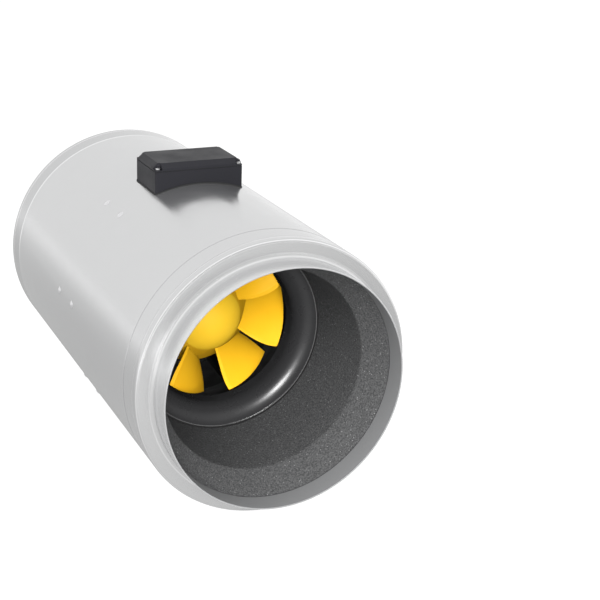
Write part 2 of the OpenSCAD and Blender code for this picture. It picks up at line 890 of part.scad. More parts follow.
// Space between hub and shroud that the blades sweep, from the bowed leading edge to the trailing edge.
// It starts inside the hub's wall, so that each blade is rooted in the hub.
module blade_space() {
    z_root_in = z_hub_in + lead_root;
    z_root_out = z_hub_out - trail_root;
    root = [hub_at(z_root_in) - hub_inset / 2, z_root_in];
    tip = [tip_r_in, z_tip_in];
    chord = tip - root;
    ahead = [0, 2 * lead_bow];
    bow_r = (chord * chord / 4 + lead_bow * lead_bow) / (2 * lead_bow);
    bow_centre = (root + tip) / 2 + (bow_r - lead_bow) * [-chord[1], chord[0]] / norm(chord);
    rotate_extrude() intersection() {
        translate(bow_centre) circle(r = bow_r);
        polygon([
            root, root - ahead, tip - ahead, tip,
            [tip_r_out, z_tip_out],
            [hub_at(z_root_out) - hub_inset / 2, z_root_out]]);
    }
}

// Conical hub with a front plate and curved mixed-flow blades
module impeller() {
    half_arc = 32;
    bore = shaft_r + hub_bore;
    reach = 2 * tip_r_out;
    color("gold") in_unit() difference() {
        union() {
            rotate_extrude() polygon([
                [bore, z_dome],
                [dome_r, z_dome],
                [hub_r_out, z_hub_out],
                [hub_r_out - hub_inset, z_hub_out],
                [hub_at(z_hub_seat) - hub_inset, z_hub_seat],
                [bore, z_hub_seat]]);
            for (i = [0:blade_count - 1])
                rotate([0, 0, blade_phase + i * 360 / blade_count]) intersection() {
                    blade_space();
                    blade_sheet();
                    linear_extrude(total_len) polygon([
                        [0, 0], reach * [-sin(half_arc), -cos(half_arc)],
                        [0, -reach], reach * [sin(half_arc), -cos(half_arc)]]);
                }
        }
        each_impeller_screw() cylinder(r = screw_r + fit, h = 2 * (screw_len + hub_lip), center = true);
    }
}

// Places a shape at every screw that holds the impeller, on the hub plate's front face
module each_impeller_screw() {
    for (i = [0:3]) rotate([0, 0, 90 * i]) translate([0, nose_screw_in - nose_boss_r, z_dome]) children();
}

module impeller_screws() {
    color("silver") in_unit() each_impeller_screw()
        mirror([0, 0, 1]) pan_screw(screw_r, screw_head_r, screw_head_h, screw_len + hub_lip - over);
}

// Hollow dome over the hub plate
module hub_cap() {
    ball_z = z_dome - dome_h + dome_ball_r;
    color("gold") in_unit() intersection() {
        difference() {
            translate([0, 0, ball_z]) sphere(r = dome_ball_r);
            translate([0, 0, ball_z]) sphere(r = dome_ball_r - dome_t);
        }
        translate([0, 0, z_dome - dome_h - over]) cylinder(r = dome_r + over, h = dome_h + over);
    }
}

// Motor lead: back from the flange, out through the conduit and up to the terminals
module motor_lead() {
    start_r = unit_k * lead_start_r;
    fork_r = floor_top_r + lead_tail - lead_r;
    block_side = [block_x - block_w / 2 - wire_gap, -block_z - wire_drop, mid];
    color([0.1, 0.1, 0.1]) on_axis() union() {
        rotate([0, 0, lead_turn]) translate([0, -start_r, z_lead]) {
            translate([0, 0, unit_at(z_plate) + fit - z_lead])
                cylinder(r = lead_r, h = z_lead - unit_at(z_plate) - fit);
            sphere(r = lead_r);
            rotate([90, 0, 0]) cylinder(r = lead_r, h = fork_r + lead_r - start_r);
        }
        for (i = [-1:1])
            rod(fork_r * [sin(lead_turn), -cos(lead_turn), 0] + [0, 0, z_lead + i * wire_pitch],
                block_side + [0, 0, i * wire_spread], core_wire_d / 2);
    }
}

// Rubber ring that guards the lead where it passes the casing
module lead_grommet() {
    lip_r = grommet_r + grommet_lip;
    lip_seat = sqrt(casing_in * casing_in - lip_r * lip_r) - press;
    color([0.07, 0.07, 0.07]) on_axis() radial(lead_turn, z_lead) difference() {
        union() {
            translate([0, 0, lip_seat - grommet_lip_t]) cylinder(r = lip_r, h = grommet_lip_t);
            translate([0, 0, lip_seat - grommet_lip_t / 2])
                cylinder(r = grommet_r, h = casing_r - lip_seat + grommet_lip_t);
            translate([0, 0, casing_r + press]) cylinder(r = lip_r, h = grommet_lip_t);
        }
        cylinder(r = lead_r + fit, h = far);
    }
}

// Prism of the box's outline, inset from its walls, between two heights
module box_prism(inset, z0, z1) {
    translate([0, mid, z0]) linear_extrude(z1 - z0)
        rounded_rect(box_w - 2 * inset, box_d - 2 * inset, max(box_edge_r - inset, 0.5));
}

// Places a shape at each corner post
module each_post(z) {
    for (sx = [-1, 1], sy = [-1, 1])
        translate([sx * (box_w / 2 - post_in), mid + sy * (box_d / 2 - post_in), z]) children();
}

// Soft seal under the rim of the box
module saddle_seal() {
    color([0.06, 0.06, 0.06]) difference() {
        box_prism(-saddle_lip, 0, seam_z);
        box_prism(saddle_w, -over, seam_z + over);
        on_axis() cylinder(r = casing_r + press, h = total_len);
        on_axis() each_rivet() cylinder(r = rivet_head_d / 2 + fit, h = far);
        difference() {
            translate([-far, 0, -over]) cube([2 * far, total_len, far]);
            on_axis() cylinder(r = floor_r, h = total_len);
        }
    }
}

// Box with a saddle-shaped floor, corner posts and openings for lead, gland and screws
module box_base() {
    color([0.24, 0.24, 0.26]) difference() {
        box_prism(0, 0, seam_z);
        on_axis() cylinder(r = floor_r + press, h = total_len);
        difference() {
            box_prism(box_t, 0, seam_z + over);
            on_axis() cylinder(r = floor_top_r, h = total_len);
            each_post(0) cylinder(r = post_r, h = far);
            translate([block_x - block_foot_w / 2, mid - block_foot_d / 2, 0])
                cube([block_foot_w, block_foot_d, block_z]);
        }
        each_post(seam_z - post_hole) cylinder(r = lid_screw_r + fit, h = far);
        on_axis() {
            radial(lead_turn, z_lead) cylinder(r = grommet_r + grommet_lip + over, h = far);
            each_rivet() translate([0, 0, casing_r - over])
                cylinder(r = rivet_head_d / 2 + rivet_room_r, h = box_t + rivet_room_h);
            for (side = [-1, 1])
                radial(0, mid + side * box_screw_y) cylinder(r = screw_r + fit, h = far);
        }
        translate([0, gland_y, gland_z]) rotate([0, 90, 0]) cylinder(r = gland_r + fit, h = far);
    }
}

module box_screws() {
    color("silver") on_axis() for (side = [-1, 1]) radial(0, mid + side * box_screw_y)
        translate([0, 0, floor_top_r])
            pan_screw(screw_r, screw_head_r, screw_head_h, box_t + saddle_t + casing_t + box_screw_tail);
}

// Flat seal between box and lid
module box_gasket() {
    color([0.06, 0.06, 0.06]) difference() {
        box_prism(gasket_in, seam_z, lid_z);
        difference() {
            box_prism(box_t + over, seam_z - over, lid_z + over);
            each_post(seam_z - 2 * over) cylinder(r = post_r, h = gasket_t + 4 * over);
        }
        each_post(seam_z - 2 * over) cylinder(r = lid_screw_r + fit, h = gasket_t + 4 * over);
    }
}

// Lid outline with chamfered top edges, as the overlap of two extruded side views
module lid_block() {
    intersection() {
        box_prism(0, lid_z, lid_top);
        translate([0, mid + box_d, 0]) rotate([90, 0, 0]) linear_extrude(2 * box_d)
            lid_view(box_w);
        translate([-box_w, mid, 0]) rotate([90, 0, 90]) linear_extrude(2 * box_w)
            lid_view(box_d);
    }
}

module lid_view(w) {
    polygon([[-w / 2, lid_z], [w / 2, lid_z], [w / 2, lid_top - lid_chamfer],
             [w / 2 - lid_chamfer, lid_top], [lid_chamfer - w / 2, lid_top],
             [-w / 2, lid_top - lid_chamfer]]);
}

// Corner cut out of the lid over each screw, open to both sides
module lid_notches() {
    out = 2 * post_in;
    for (sx = [-1, 1], sy = [-1, 1])
        translate([sx * (box_w / 2 - post_in), mid + sy * (box_d / 2 - post_in), lid_z + ledge_t])
            linear_extrude(lid_h) {
                circle(r = notch_r);
                polygon([[0, 0], [0, -sy * notch_r], [sx * out, -sy * notch_r], [sx * out, sy * out],
                         [-sx * notch_r, sy * out], [-sx * notch_r, 0]]);
            }
}

// Lid with a notch over each corner screw
module box_lid() {
    color([0.26, 0.26, 0.28]) difference() {
        lid_block();
        difference() {
            box_prism(lid_chamfer + box_t / 2, lid_z - over, lid_top - box_t);
            each_post(lid_z - 2 * over) cylinder(r = notch_r + ledge_wall, h = far);
        }
        lid_notches();
        each_post(lid_z - over) cylinder(r = lid_screw_r + fit, h = far);
    }
}

module lid_screws() {
    color("silver") each_post(lid_z + ledge_t)
        pan_screw(lid_screw_r, lid_head_r, lid_head_h, ledge_t + gasket_t + lid_screw_grip);
}

// Places a shape at both screws of every pole of the terminal block
module each_pole() {
    for (i = [0:pole_count - 1], side = [-1, 1])
        translate([block_x - block_w / 2 + (i + 0.5) * pole_pitch, mid + side * block_d / 4,
                   block_z + block_h]) children();
}

module terminal_block() {
    color("ivory") difference() {
        translate([block_x - block_w / 2, mid - block_d / 2, block_z + press])
            cube([block_w, block_d, block_h]);
        each_pole() cylinder(r = pole_hole_r, h = 2 * pole_hole_d, center = true);
        for (i = [1:pole_count - 1])
            translate([block_x - block_w / 2 + i * pole_pitch, mid, block_z + block_h])
                cube([pole_slot_w, block_d + 2 * over, 2 * pole_slot_d], center = true);
    }
}

module terminal_screws() {
    color("silver") each_pole() translate([0, 0, -pole_screw_deep])
        cylinder(r = pole_screw_r, h = pole_screw_h);
}

// Lays a shape along the gland's axis, from the box's outer wall outwards
module at_gland() {
    translate([box_w / 2, gland_y, gland_z]) rotate([0, 90, 0]) children();
}

module gland_body() {
    inside = box_t + thread_past;
    color([0.2, 0.2, 0.21]) at_gland() difference() {
        union() {
            translate([0, 0, -inside]) cylinder(r = gland_r, h = inside + over);
            rotate([0, 0, 30]) cylinder(r = gland_hex_r, h = collar_hex_t, $fn = 6);
            cylinder(r = gland_r - thread_in, h = gland_len - thread_short);
        }
        translate([0, 0, -inside - over]) cylinder(r = seal_r + press, h = far);
    }
}

// Domed nut that closes the gland
module gland_nut() {
    z_nut = collar_hex_t + nut_gap;
    z_cone = z_nut + nut_grip - over;
    neck_share = 0.85;
    color([0.2, 0.2, 0.21]) at_gland() difference() {
        union() {
            translate([0, 0, z_nut]) rotate([0, 0, 30])
                cylinder(r = gland_hex_r, h = nut_grip, $fn = 6);
            translate([0, 0, z_cone])
                cylinder(r1 = gland_hex_r * neck_share, r2 = seal_r + nut_lip, h = gland_len - z_cone);
        }
        translate([0, 0, z_nut - over])
            cylinder(r = gland_r - thread_in + fit, h = gland_len - thread_short + nut_neck - z_nut + over);
        cylinder(r = seal_r - nut_neck, h = far);
    }
}

module gland_seal() {
    color([0.05, 0.05, 0.05]) at_gland()
        ring(seal_r, gland_bore_d / 2, seal_start, gland_len - seal_short);
}

module gland_locknut() {
    color([0.2, 0.2, 0.21]) at_gland() translate([0, 0, -box_t - locknut_t]) difference() {
        rotate([0, 0, 30]) cylinder(r = gland_hex_r, h = locknut_t, $fn = 6);
        translate([0, 0, -over]) cylinder(r = gland_r + press, h = locknut_t + 2 * over);
    }
}

casing();
inlet_cap();
outlet_cap();
inlet_foam();
middle_foam();
outlet_foam();
bell_mouth();
bell_screws();
stator_housing();
guide_vanes();
motor_drum();
lead_conduit();
tail_cone();
brackets();
bracket_screws();
bracket_rivets();
motor_flange();
motor_screws();
stator_core();
windings();
front_bearing();
rear_bearing();
rotor_can();
rotor_magnets();
shaft();
shaft_clip();
impeller();
impeller_screws();
hub_cap();
motor_lead();
lead_grommet();
saddle_seal();
box_base();
box_screws();
box_gasket();
box_lid();
lid_screws();
terminal_block();
terminal_screws();
gland_body();
gland_nut();
gland_seal();
gland_locknut();
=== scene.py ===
# %% [markdown]
# # Dressing an inline duct fan
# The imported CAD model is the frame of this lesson: every metal and plastic piece is already in
# its place, in metres, with the fan's axis along Y and the terminal box on top. What is left for
# Blender is what a drawing can't show: soft foam, finishes, light and the photographer's view.
# The size of the whole model is noted first, because nothing made later may grow past it.

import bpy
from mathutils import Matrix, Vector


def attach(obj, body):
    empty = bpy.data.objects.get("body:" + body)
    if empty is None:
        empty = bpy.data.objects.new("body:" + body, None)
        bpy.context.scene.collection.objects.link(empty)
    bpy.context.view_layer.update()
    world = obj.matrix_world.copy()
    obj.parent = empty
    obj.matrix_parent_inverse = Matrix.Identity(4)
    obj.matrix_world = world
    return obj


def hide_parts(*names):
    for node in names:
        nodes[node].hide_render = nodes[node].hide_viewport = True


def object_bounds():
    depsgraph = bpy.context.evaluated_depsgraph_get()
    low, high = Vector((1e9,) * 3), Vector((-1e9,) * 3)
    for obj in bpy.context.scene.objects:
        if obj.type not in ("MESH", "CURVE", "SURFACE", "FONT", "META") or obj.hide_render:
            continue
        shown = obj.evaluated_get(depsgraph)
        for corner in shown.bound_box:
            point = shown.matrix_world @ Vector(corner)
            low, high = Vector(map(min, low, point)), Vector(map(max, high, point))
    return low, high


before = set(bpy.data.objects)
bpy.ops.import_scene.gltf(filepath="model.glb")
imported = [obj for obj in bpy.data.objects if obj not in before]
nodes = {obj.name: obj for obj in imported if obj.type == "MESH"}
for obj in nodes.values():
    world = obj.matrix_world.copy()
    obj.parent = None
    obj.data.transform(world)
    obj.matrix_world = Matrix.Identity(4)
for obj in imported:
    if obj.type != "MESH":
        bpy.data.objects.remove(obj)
cad_box = [list(corner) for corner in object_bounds()]

import math

import bpy
from mathutils import Matrix, Vector

MM = 0.001
fan_length = 540 * MM
fan_middle_y = fan_length / 2
print("pieces:", len(nodes), "size in mm:", [round((b - a) / MM) for a, b in zip(*cad_box)])

# %% [markdown]
# ## Where the photographer stood
# The view looks down into the inlet from the front left. A camera can be aimed with a Track To
# constraint, but the photograph's lean of about two degrees would be lost, so its three axes are
# written down: which way it looks, which way is right in the picture, and which way is up.

# %% Camera
sensor_mm = 36
lens_mm = 77.08
camera_place = Vector((-0.47972, -1.00656, 0.50443))
looks_along = Vector((0.40954982, 0.84416659, -0.34590709))
picture_right = Vector((0.90467386, -0.4246902, 0.03469065))
picture_up = picture_right.cross(looks_along)

bpy.ops.object.camera_add()
camera = bpy.context.object
camera.name = "camera"
camera.data.sensor_width = sensor_mm
camera.data.lens = lens_mm
turned = Matrix((picture_right, picture_up, -looks_along)).transposed()
camera.matrix_world = Matrix.Translation(camera_place) @ turned.to_4x4()
bpy.context.scene.camera = camera
print("camera", round((camera_place - Vector((0, fan_middle_y, 0))).length, 2), "m from the fan's middle")

# %% [markdown]
# ## A white studio
# The fan lies on a pale floor in a white room. The room lights it softly, and the Light Path node
# lets the camera and the mirror-like metal see a clean white, while only part of that strength
# falls on the object as light. Bright metal is only as good as what it mirrors: all white, it would
# have no shape. So in gloss the room is a little dimmer on the photographer's side, as if someone
# stood there, and the floor glows less near the fan and round a grey patch in front of it, which
# the end face mirrors. The steps are soft, without a hard horizon. The shadow that a real table
# would show is kept, since the glow is only added to it.

# %% Floor and room
white = (1, 1, 1, 1)
room_fill = 0.52
room_front = 0.68
front_fade = (-0.85, -0.5)
floor_glow = 0.92
floor_colour = (0.20, 0.20, 0.20, 1)
floor_roughness = 0.9
floor_radius = 6
floor_gap = 0.2 * MM
fan_shade = 0.40
fan_fade = (0.3, 2.6)
grey_patch = (0.45, -0.90, 0)
patch_shade = 0.25
patch_fade = (0.5, 1.3)


def combine(tree, operation, first, second):
    """One Math node; each side may be a number or another socket."""
    node = tree.nodes.new("ShaderNodeMath")
    node.operation = operation
    for socket, value in zip(node.inputs, (first, second)):
        if isinstance(value, (int, float)):
            socket.default_value = value
        else:
            tree.links.new(value, socket)
    return node.outputs[0]


def faded(tree, value, start, end, least):
    """A soft step from a least value up to 1, between two readings of a socket."""
    node = tree.nodes.new("ShaderNodeMapRange")
    node.interpolation_type = "SMOOTHSTEP"
    node.inputs["From Min"].default_value = start
    node.inputs["From Max"].default_value = end
    node.inputs["To Min"].default_value = least
    tree.links.new(value, node.inputs["Value"])
    return node.outputs[0]


def distance_from(tree, point):
    """How far a point of the floor lies from a named place."""
    away = tree.nodes.new("ShaderNodeVectorMath")
    away.operation = "DISTANCE"
    away.inputs[1].default_value = point
    tree.links.new(tree.nodes.new("ShaderNodeTexCoord").outputs["Object"], away.inputs[0])
    return away.outputs["Value"]


def seen_directly(tree, in_metal=1.0):
    """1 for rays from the camera, another strength for gloss and glass, else 0."""
    path = tree.nodes.new("ShaderNodeLightPath")
    mirrored = combine(tree, "MAXIMUM", path.outputs["Is Glossy Ray"], path.outputs["Is Transmission Ray"])
    in_mirror = combine(tree, "MULTIPLY", mirrored, in_metal)
    return combine(tree, "MAXIMUM", path.outputs["Is Camera Ray"], in_mirror)


def dimmer_in_front(tree):
    """White for the camera; in gloss the room is dimmer on the photographer's side."""
    way = tree.nodes.new("ShaderNodeSeparateXYZ")
    tree.links.new(tree.nodes.new("ShaderNodeTexCoord").outputs["Generated"], way.inputs[0])
    in_gloss = faded(tree, way.outputs["Y"], *front_fade, room_front)
    path = tree.nodes.new("ShaderNodeLightPath")
    return combine(tree, "MAXIMUM", path.outputs["Is Camera Ray"], in_gloss)


room = bpy.data.worlds.new("white_room")
room.use_nodes = True
bpy.context.scene.world = room
tree = room.node_tree
lit = tree.nodes["Background"]
lit.inputs["Color"].default_value = white
lit.inputs["Strength"].default_value = room_fill
seen = tree.nodes.new("ShaderNodeBackground")
seen.inputs["Color"].default_value = white
tree.links.new(dimmer_in_front(tree), seen.inputs["Strength"])
either = tree.nodes.new("ShaderNodeMixShader")
tree.links.new(seen_directly(tree), either.inputs[0])
tree.links.new(lit.outputs[0], either.inputs[1])
tree.links.new(seen.outputs[0], either.inputs[2])
tree.links.new(either.outputs[0], tree.nodes["World Output"].inputs["Surface"])

bpy.ops.object.select_all(action="DESELECT")
bpy.ops.mesh.primitive_circle_add(
    vertices=96, radius=floor_radius, fill_type="NGON",
    location=(0, fan_middle_y, cad_box[0][2] - floor_gap),
)
floor = bpy.context.object
floor.name = "floor"
bpy.ops.object.transform_apply(location=True, rotation=True, scale=True)
paper = bpy.data.materials.new("floor_paper")
paper.use_nodes = True
tree = paper.node_tree
matt_paper = tree.nodes["Principled BSDF"]
matt_paper.inputs["Base Color"].default_value = floor_colour
matt_paper.inputs["Roughness"].default_value = floor_roughness
glow = tree.nodes.new("ShaderNodeEmission")
by_fan = faded(tree, distance_from(tree, (0, 0, 0)), *fan_fade, fan_shade)
by_patch = faded(tree, distance_from(tree, grey_patch), *patch_fade, patch_shade)
shaded = combine(tree, "MINIMUM", by_fan, by_patch)
strength = combine(tree, "MULTIPLY", seen_directly(tree, shaded), floor_glow)
tree.links.new(strength, glow.inputs["Strength"])
both = tree.nodes.new("ShaderNodeAddShader")
tree.links.new(matt_paper.outputs[0], both.inputs[0])
tree.links.new(glow.outputs[0], both.inputs[1])
tree.links.new(both.outputs[0], tree.nodes["Material Output"].inputs["Surface"])
floor.data.materials.append(paper)
print("floor at", round(cad_box[0][2] / MM, 1), "mm")

# %% [markdown]
# ## Lamps
# The bright streak in the black bell mouth works like a mirror: followed back through the inlet it
# points to a place near the camera, so a small lamp stands there. The metal corner between spigot
# and end face would throw its light straight back and burn out, so Light Linking lets this lamp
# fall on the bell mouth only. Above it hangs a large soft lamp that shines down the throat onto the
# impeller. It is hidden from glossy rays, and the metal only mirrors the white room. A weak lamp,
# low in front of the inlet, opens the shadows on the blades.

# %% Lamps
lamp_aim = Vector((0, 0.2, 0))


def soft_lamp(name, place, side, watts, mirrored):
    """A square area lamp that looks at the fan, and may be hidden from gloss."""
    bpy.ops.object.light_add(type="AREA", location=place)
    lamp = bpy.context.object
    lamp.name = name
    lamp.data.shape = "SQUARE"
    lamp.data.size = side
    lamp.data.energy = watts
    lamp.rotation_mode = "QUATERNION"
    lamp.rotation_quaternion = (lamp_aim - Vector(place)).to_track_quat("-Z", "Y")
    lamp.visible_glossy = mirrored
    lamp.visible_camera = False
    return lamp


soft_lamp("front_lamp", place=(-0.60, -1.55, 0.85), side=1.2, watts=66, mirrored=False)
streak_lamp = soft_lamp("streak_lamp", place=(-0.47, -1.59, 0.54), side=0.55, watts=84, mirrored=True)
streak_only = bpy.data.collections.new("lit_by_streak_lamp")
streak_only.objects.link(nodes["bell_mouth"])
streak_lamp.light_linking.receiver_collection = streak_only
soft_lamp("fill_lamp", place=(-0.45, -1.70, 0.0), side=0.25, watts=13, mirrored=False)
bpy.context.scene.view_settings.view_transform = "Standard"

# %% [markdown]
# ## Helpers for finishes
# Every finish is a Principled shader whose colour, roughness and bump come from textures in
# Object coordinates. All pieces sit at the origin, so these are plain metres in the fan's frame:
# a noise of scale 1000 has grains of about a millimetre on every piece. A noise seldom leaves the
# reach from 0.3 to 0.7, so that reach is what gets spread over a range of roughness.

# %% Node helpers
noise_reach = (0.3, 0.7)


def start_finish(name):
    """A new material, its node tree and its Principled shader."""
    material = bpy.data.materials.new(name)
    material.use_nodes = True
    return material, material.node_tree, material.node_tree.nodes["Principled BSDF"]


def place_in_fan(tree):
    """Object coordinates, in metres."""
    return tree.nodes.new("ShaderNodeTexCoord").outputs["Object"]


def stretched(tree, factors):
    """Object coordinates multiplied on each axis, to stretch a grain."""
    mapping = tree.nodes.new("ShaderNodeMapping")
    mapping.inputs["Scale"].default_value = factors
    tree.links.new(place_in_fan(tree), mapping.inputs["Vector"])
    return mapping.outputs["Vector"]


def noise(tree, scale, detail, where=None):
    """A soft random grain from 0 to 1."""
    texture = tree.nodes.new("ShaderNodeTexNoise")
    texture.inputs["Scale"].default_value = scale
    texture.inputs["Detail"].default_value = detail
    tree.links.new(where or place_in_fan(tree), texture.inputs["Vector"])
    return texture.outputs["Fac"]


def cells(tree, scale, output="Distance"):
    """Random cells: the distance to each cell's middle, or the cell's own colour."""
    texture = tree.nodes.new("ShaderNodeTexVoronoi")
    texture.inputs["Scale"].default_value = scale
    tree.links.new(place_in_fan(tree), texture.inputs["Vector"])
    return texture.outputs[output]


def remap(tree, value, low, high, start=0.0, end=1.0):
    """Maps start..end of a texture to low..high, clamped."""
    node = tree.nodes.new("ShaderNodeMapRange")
    for socket, number in zip(node.inputs[1:5], (start, end, low, high)):
        socket.default_value = number
    tree.links.new(value, node.inputs[0])
    return node.outputs[0]


def step_up(tree, value, start, end):
    """0 up to one reading of a socket, 1 from another reading on."""
    return remap(tree, value, 0, 1, start, end)


def spread(tree, texture, low, high):
    """Maps the usual reach of a noise to low..high."""
    return remap(tree, texture, low, high, *noise_reach)


def mixed(tree, factor, first, second):
    """A colour between two colours; each may be a tuple or another socket."""
    node = tree.nodes.new("ShaderNodeMix")
    node.data_type = "RGBA"
    tree.links.new(factor, node.inputs["Factor"])
    for socket, colour in ((node.inputs[6], first), (node.inputs[7], second)):
        if isinstance(colour, tuple):
            socket.default_value = (*colour, 1)
        else:
            tree.links.new(colour, socket)
    return node.outputs[2]


def relief(tree, height, depth_mm, strength, under=None):
    """A bump of some depth in millimetres, on top of another bump if one is given."""
    bump = tree.nodes.new("ShaderNodeBump")
    bump.inputs["Strength"].default_value = strength
    bump.inputs["Distance"].default_value = depth_mm * MM
    tree.links.new(height, bump.inputs["Height"])
    if under is not None:
        tree.links.new(under, bump.inputs["Normal"])
    return bump.outputs["Normal"]


def round_the_axis(tree, across, along):
    """Coordinates that follow turning marks: distance from the fan's axis, and place along it."""
    flat = tree.nodes.new("ShaderNodeVectorMath")
    flat.operation = "MULTIPLY"
    flat.inputs[1].default_value = (1, 0, 1)
    tree.links.new(place_in_fan(tree), flat.inputs[0])
    reach = tree.nodes.new("ShaderNodeVectorMath")
    reach.operation = "LENGTH"
    tree.links.new(flat.outputs[0], reach.inputs[0])
    axis = tree.nodes.new("ShaderNodeSeparateXYZ")
    tree.links.new(place_in_fan(tree), axis.inputs[0])
    pair = tree.nodes.new("ShaderNodeCombineXYZ")
    for socket, value, scale in ((0, reach.outputs["Value"], across), (1, axis.outputs["Y"], along)):
        tree.links.new(combine(tree, "MULTIPLY", value, scale), pair.inputs[socket])
    return pair.outputs[0]


def turning_marks(tree, across, along, detail):
    """Noise in rings round the fan's axis, finer with larger numbers across and along."""
    return noise(tree, scale=1, detail=detail, where=round_the_axis(tree, across, along))


def radius_and_station(tree):
    """Two sockets: the distance from the fan's axis, and the place along it."""
    parts = tree.nodes.new("ShaderNodeSeparateXYZ")
    tree.links.new(round_the_axis(tree, 1, 1), parts.inputs[0])
    return parts.outputs["X"], parts.outputs["Y"]


def ring_line(tree, value, centre, half_width):
    """1 on a line at a given reading of a socket, fading to 0 on both sides of it."""
    rising = step_up(tree, value, centre - half_width, centre)
    falling = remap(tree, value, 1, 0, centre, centre + half_width)
    return combine(tree, "MULTIPLY", rising, falling)


def from_fan_middle(tree, station):
    """How far a place along the axis lies from the fan's middle; both ends read the same."""
    return combine(tree, "ABSOLUTE", combine(tree, "SUBTRACT", station, fan_middle_y), 0)


def one_texture_finish(name, texture, dark, pale, roughness, bump_mm, strength, metallic=0.0):
    """A finish whose colour, roughness and bump all follow the same texture."""
    material, tree, shader = start_finish(name)
    shader.inputs["Metallic"].default_value = metallic
    pattern = texture(tree)
    tree.links.new(mixed(tree, pattern, dark, pale), shader.inputs["Base Color"])
    tree.links.new(spread(tree, pattern, *roughness), shader.inputs["Roughness"])
    tree.links.new(relief(tree, pattern, bump_mm, strength), shader.inputs["Normal"])
    return material


def paint(material, *names):
    """Gives CAD pieces a finish in place of the plain one they came with."""
    for name in names:
        slots = nodes[name].data.materials
        slots.clear()
        slots.append(material)
    print(material.name, "on", ", ".join(names))


# %% [markdown]
# ## Galvanised sheet
# The casing is rolled from zinc-coated sheet: pale, satin, with a faint cloud of zinc crystals
# and fine mill lines along the sheet. A mirror would show hard reflections and a matt paint none
# at all, so the roughness moves round a fifth: the box's reflection stays clear near the box and
# blurs away from it. The swaged grooves near both ends are shallow, so a painted highlight line and
# a painted shade line in the colour help them to catch the eye. Past the outlet's groove the sheet
# is a little darker.

# %% Casing steel
groove_from_middle = 204.5 * MM
groove_half = 0.8 * MM
line_half = 0.9 * MM
outlet_groove = fan_middle_y + groove_from_middle
outlet_blend = 2 * MM
crystal_dark, crystal_pale = (0.622, 0.625, 0.629), (0.634, 0.637, 0.641)
cloud_zinc, outlet_zinc = (0.640, 0.642, 0.646), (0.545, 0.548, 0.552)
# Colours of the painted highlight and painted shade lines beside the grooves.
groove_painted_highlight, groove_painted_shade = (0.95, 0.95, 0.955), (0.47, 0.472, 0.476)

steel, tree, shader = start_finish("galvanised_sheet")
shader.inputs["Metallic"].default_value = 0.86
_, station = radius_and_station(tree)
spangle = cells(tree, scale=130, output="Color")
clouds = noise(tree, scale=14, detail=4)
sheet_tone = mixed(tree, clouds, mixed(tree, spangle, crystal_dark, crystal_pale), cloud_zinc)
past_groove = step_up(tree, station, outlet_groove, outlet_groove + outlet_blend)
tone = mixed(tree, past_groove, sheet_tone, outlet_zinc)
from_middle = from_fan_middle(tree, station)
# Painted highlight on one side of each groove, painted shade on the other.
painted_highlight_side = ring_line(tree, from_middle, groove_from_middle + groove_half, line_half)
painted_shade_side = ring_line(tree, from_middle, groove_from_middle - groove_half, line_half)
with_painted_groove_light = mixed(tree, painted_shade_side, mixed(tree, painted_highlight_side, tone, groove_painted_highlight), groove_painted_shade)
tree.links.new(with_painted_groove_light, shader.inputs["Base Color"])
smears = noise(tree, scale=45, detail=5)
tree.links.new(spread(tree, smears, low=0.18, high=0.22), shader.inputs["Roughness"])
mill_lines = noise(tree, scale=700, detail=2, where=stretched(tree, (1, 0.02, 1)))
tree.links.new(relief(tree, mill_lines, depth_mm=0.002, strength=0.1), shader.inputs["Normal"])
paint(steel, "casing", "brackets")

# %% [markdown]
# ## Pressed end caps
# The caps are spun over a former, so their marks run round the axis. Noise that only knows the
# distance from the axis and the place along it draws such rings without any texture map. The same
# distance tells three zones apart: the spigot's inside, where the zinc is left dull, the bright
# spigot and end face, and the rim, which is a little greyer, most of all at the outlet. Fine lines
# of painted highlight stand where the sheet bends: at the spigot's foot, on the rim and at the seam.
# A dark line on the inside at the foam's lip is a painted shadow.

# %% Cap steel
inside_radius, inside_blur = 123.9 * MM, 0.2 * MM
rim_from, rim_to = 140 * MM, 142 * MM
edge_from, edge_to = 506.9 * MM, 508.1 * MM
foot_line, foot_half = 128.7 * MM, 1.1 * MM
bend_line, bend_half = 141.3 * MM, 0.6 * MM
seam_from_middle, seam_half = 230.6 * MM, 1.0 * MM
lip_from_middle, lip_half = 245.4 * MM, 1.1 * MM
ends_blend = 10 * MM
polished_dark, polished_pale = (0.745, 0.747, 0.750), (0.775, 0.777, 0.780)
# The pale tone here is for the painted highlight lines.
rim_zinc, painted_highlight_zinc = (0.655, 0.658, 0.662), (0.93, 0.93, 0.935)
outlet_rim_zinc, outlet_edge_zinc = (0.565, 0.568, 0.572), (0.38, 0.383, 0.388)
# The dark tone here is the painted shadow at the foam's lip.
inside_zinc, painted_lip_shadow = (0.302, 0.304, 0.308), (0.05, 0.05, 0.052)

pressed, tree, shader = start_finish("pressed_cap_steel")
radius, station = radius_and_station(tree)
from_middle = from_fan_middle(tree, station)
outside = step_up(tree, radius, inside_radius - inside_blur, inside_radius + inside_blur)
on_rim = step_up(tree, radius, rim_from, rim_to)
at_outlet_end = step_up(tree, station, fan_middle_y, fan_middle_y + ends_blend)
clouds = noise(tree, scale=16, detail=4)
polished = mixed(tree, clouds, polished_dark, polished_pale)
outlet_rim = mixed(tree, step_up(tree, station, edge_from, edge_to), outlet_rim_zinc, outlet_edge_zinc)
satin = mixed(tree, on_rim, polished, mixed(tree, at_outlet_end, rim_zinc, outlet_rim))
print(pressed.name, "has a foot line at", round(foot_line / MM, 1), "mm from the axis")
